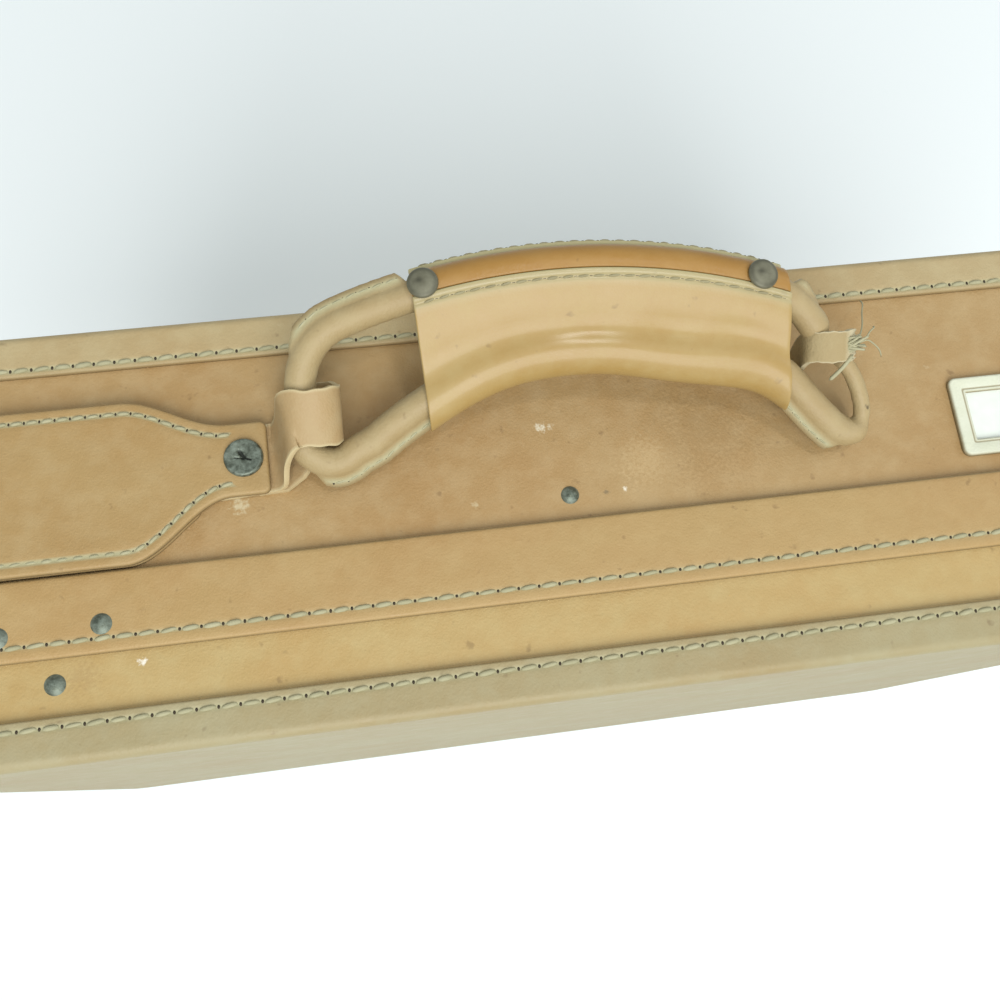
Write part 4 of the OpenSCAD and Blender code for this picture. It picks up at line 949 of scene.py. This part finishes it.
def hermite(p0, t0, p1, t1, count):
    """Curve between two points with given directions there, by the four cubic Hermite weights of t."""
    t = np.linspace(0, 1, count, endpoint=False)[:, None]
    return ((2 * t ** 3 - 3 * t ** 2 + 1) * p0 + (t ** 3 - 2 * t ** 2 + t) * t0
            + (3 * t ** 2 - 2 * t ** 3) * p1 + (t ** 3 - t ** 2) * t1)


def chape(name, material, node, tail, bar, oval, widths, sweep, back=None, fray=0.0, thick=0.0016):
    """Strap from a tail on the top wall to an oval loop round a bar of the ring. tail and back are two
    points each; bar is a place on the ring, oval the loop's half width and height, widths the strap's
    half widths at tail and bar, and sweep the loop's first and last angle. The width turns from depth
    to the bar's direction. fray draws the columns of the free end out by unequal lengths."""
    tail_n, rise_n, loop_n, back_n = 6, 16, 34, 14
    hub = at_rest(bar[0], bar[1], 0.0)
    tail = np.array(tail)
    angle = np.radians(np.linspace(sweep[0], sweep[1], loop_n))[:, None]
    ring_part = hub + oval[1] * np.sin(angle) * face_up - oval[0] * np.cos(angle) * along_x
    ways = unit(oval[0] * np.sin(angle) * along_x + oval[1] * np.cos(angle) * face_up)
    lead = tail[1] - tail[0]
    line = [tail[0] + np.linspace(0, 1, tail_n, endpoint=False)[:, None] * lead,
            hermite(tail[1], 0.016 * unit(lead), ring_part[0], 0.016 * ways[0], rise_n),
            ring_part]
    share = [np.zeros(tail_n), eased(np.linspace(0, 1, rise_n)), np.ones(loop_n)]
    if back is not None:
        back = np.array(back)
        line += [hermite(ring_part[-1], 0.014 * ways[-1], back[0], 0.6 * (back[1] - back[0]), back_n)[1:],
                 back[1:]]
        share += [1 - eased(np.linspace(0, 1, back_n))]
    line, share = np.concatenate(line), np.concatenate(share)[:, None]
    way = unit(np.gradient(line, axis=0))
    across = square_to(way, (1 - share) * np.array([0.0, 1.0, 0.0]) + share * along_bar)
    up = np.cross(way, across)
    v = np.linspace(-1, 1, 19)
    run = np.arange(len(line))[:, None]
    half = (1 - share) * widths[0] + share * widths[1]
    half = half * (1 + 0.03 * np.sin(0.37 * run + 1) * np.abs(v) + 0.02 * np.sin(0.9 * run) * np.abs(v))
    middle = line[:, None] + (half * v)[..., None] * across[:, None]
    chance = np.random.default_rng(8)
    pull = fray * chance.random(len(v)) * np.clip((run - len(line) + 7) / 6, 0, 1)
    middle = middle + pull[..., None] * way[:, None]
    bow = (0.0005 * (v ** 2 - 0.4) * (1 - share) * share * 4)[..., None]
    top = middle + (thick / 2 + bow) * up[:, None]
    under = middle + (bow - thick / 2) * up[:, None]
    made = slab(name, top, under)
    edge = np.repeat((np.abs(v) > 0.99)[None], len(line), 0) * 0.9
    if fray:
        edge = np.maximum(edge, np.clip((run - len(line) + 11) / 6, 0, 1))
    mark(made, "cut", np.concatenate([edge.ravel(), edge.ravel() * 0.6]))
    outward(made)
    soften(made, 0.0004)
    made.data.materials.append(material)
    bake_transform(made)
    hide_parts(node)
    return made


chape_hide = bridle_hide("chape_bridle_hide", "aa9066", "9e7f55", "b9a983", rough=0.55, raw="c4b58c",
                         marks=(((-0.0744, 0.0296, 0.349), 0.0009, "a5502c", 0.8),
                                ((-0.0800, 0.0330, 0.349), 0.0012, "e6dcc2", 0.6)))
chape("left_chape_strap", chape_hide, "left_chape", [(-0.1128, 0.0172, 0.3309), (-0.0915, 0.0172, 0.3311)],
      (0.0022 - bar_x, 0.0150), (0.0083, 0.0060), (0.0106, 0.0082), (62, 248),
      back=[(-0.0885, 0.0172, 0.3307), (-0.0960, 0.0172, 0.3306)])


# Right chape. A short strap, half torn through, with its pale flesh side showing and its end frayed
# into fibres; three long threads hang from it to the wall.
torn_hide = bridle_hide("torn_bridle_hide", "a6946c", "9a845b", "b6aa84", rough=0.75, grain=1.6,
                        raw="c2b796")
chape("right_chape_strap", torn_hide, "right_chape", [(0.0600, 0.0255, 0.3309), (0.0670, 0.0262, 0.3311)],
      (0.0738, 0.0275), (0.0068, 0.0050), (0.0042, 0.0045), (35, 150), fray=0.004)


def cord(name, points, radius):
    """Thin cord: rings of six points square to a line, drawn in to nothing at both ends."""
    way = unit(np.gradient(points, axis=0))
    first = unit(np.cross(way, [0.1, 0.2, 1.0]))
    spin = np.linspace(0, 2 * np.pi, 6, endpoint=False)[None, :, None]
    size = radius * np.ones(len(points))
    size[[0, -1]] = 0
    round_it = np.cos(spin) * first[:, None] + np.sin(spin) * np.cross(way, first)[:, None]
    made = tube(name, points[:, None] + size[:, None, None] * round_it)
    outward(made, merge=1e-7)
    return made


torn_x, torn_n = 0.0775, 0.0042
chance = np.random.default_rng(15)
for number in range(16):
    low, high = 0.0250 + 0.0055 * chance.random(2)
    out, rise = 0.0808 + 0.0045 * chance.random(), 0.0045 * chance.random()
    t = np.linspace(0, 1, 9)[:, None]
    line = at_rest(torn_x + t[:, 0] * (out - torn_x), low + t[:, 0] * (high - low),
                   torn_n + t[:, 0] * rise - 0.003 * t[:, 0] ** 2)
    settle(cord(f"frayed_fibre_{number}", line, 0.00038), waxed_linen, "handle")

t = np.linspace(0, 1, 12)
line = at_rest(0.0800 - 0.0072 * t, 0.0250 - 0.0075 * t, torn_n + 0.001 * np.sin(3 * t))
settle(cord("torn_sliver", line, 0.0006), waxed_linen, "handle")

frayed_end = at_rest(0.0815, 0.0275, 0.0030)
for number, (to, bend) in enumerate((((0.0958, 0.0485, 0.3345), (0.0, 0.0, 0.004)),
                                     ((0.0935, 0.0250, 0.3440), (0.0, 0.002, 0.003)),
                                     ((0.0900, 0.0330, 0.3500), (0.001, 0.0, 0.002)))):
    t = np.linspace(0, 1, 18)[:, None]
    line = frayed_end + t * (np.array(to) - frayed_end) + 4 * t * (1 - t) * np.array(bend)
    line[:, 0] += 0.0006 * np.sin(9 * t[:, 0]) * t[:, 0]
    thread = cord(f"loose_thread_{number}", line, 0.00024)
    thread.data.materials.append(waxed_linen)
    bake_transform(thread)


# Label holder. A pale hide frame glued to the top wall, with a blank card slid behind it.
# Its rounded edges and the line pressed round its window are darkened by painted shade.
frame_low, frame_high = np.array([0.120, -0.0053]), np.array([0.176, 0.0203])
frame_r, least_r = 0.0025, 0.0006
# The raw tone 8f8362 is painted shade for the frame's rounded edges and pressed line.
pale_hide = bridle_hide("label_frame_hide", "d6d8c2", "cccdb3", "e2e3d4", rough=0.5, scuffs=0.3, spots=0.3,
                        raw="8f8362")


def rounded(inset, radius):
    """Closed line inset from the label frame's outline, with quarter circles at its corners."""
    points = []
    for k, (x, y) in enumerate(((1, 0), (1, 1), (0, 1), (0, 0))):
        corner = np.where([x, y], frame_high - inset - radius, frame_low + inset + radius)
        angle = (k - 1) * np.pi / 2 + np.linspace(0, np.pi / 2, 9)
        points.append(corner + radius * np.stack([np.cos(angle), np.sin(angle)], 1))
    return np.concatenate(points)


# Inset and height of each ring in millimetres, and its share of painted shade.
rings = [(0, 0, 1), (0, 1.2, 0.8), (0.15, 1.6, 0.5), (0.5, 1.8, 0.1), (0.9, 1.8, 0), (3.6, 1.8, 0),
         (3.8, 1.7, 0.6), (4.0, 1.65, 0.9), (4.2, 1.7, 0.6), (4.4, 1.8, 0), (4.8, 1.65, 0.4),
         (5, 1.2, 1), (5, 0, 1)]
loops = []
for inset, height, painted_shade in rings:
    line = rounded(inset / 1000, max(frame_r - inset / 1000, least_r))
    loops.append(np.insert(line, 2, top_z + height / 1000, axis=1))
label_frame = tube("label_holder", np.array(loops), endless=True)
mark(label_frame, "cut", np.repeat([painted_shade for inset, height, painted_shade in rings], len(loops[0])))
outward(label_frame)
settle(label_frame, pale_hide, "body", "label_frame")
card, tree = blank_material("blank_card")
surface(tree, {"Roughness": 0.85},
        {"Base Color": between(tree, noise(tree, 300.0, 5.0), "dbe1d6", "e7ece3")})
dress(card, "label_card")


# Hinges, bolts, guides and keepers. Plain steel, rolled and pressed, with brown spots of rust. The
# leaves are riveted to the boards at the bottom, and the bolts slide in guides inside the top wall.
plain_steel, tree = blank_material("plain_steel")
rust = noise(tree, 160.0, 7.0, 0.65)
surface(tree, None, {"Base Color": between(tree, ramp(tree, rust, 0.55, 0.72), "8d8f8e", "6a4a33"),
                     "Roughness": ramp(tree, rust, 0.55, 0.72, 0.38, 0.85),
                     "Metallic": ramp(tree, rust, 0.55, 0.72, 1.0, 0.0)})
dress(plain_steel, "hinge_body_rivets", "hinge_lid_rivets",
      *[f"{side}_{part}" for side in ("left", "right") for part in (
          "hinge_body_leaf", "hinge_lid_leaf", "hinge_pin", "keeper", "bolt_guide", "bolt")])
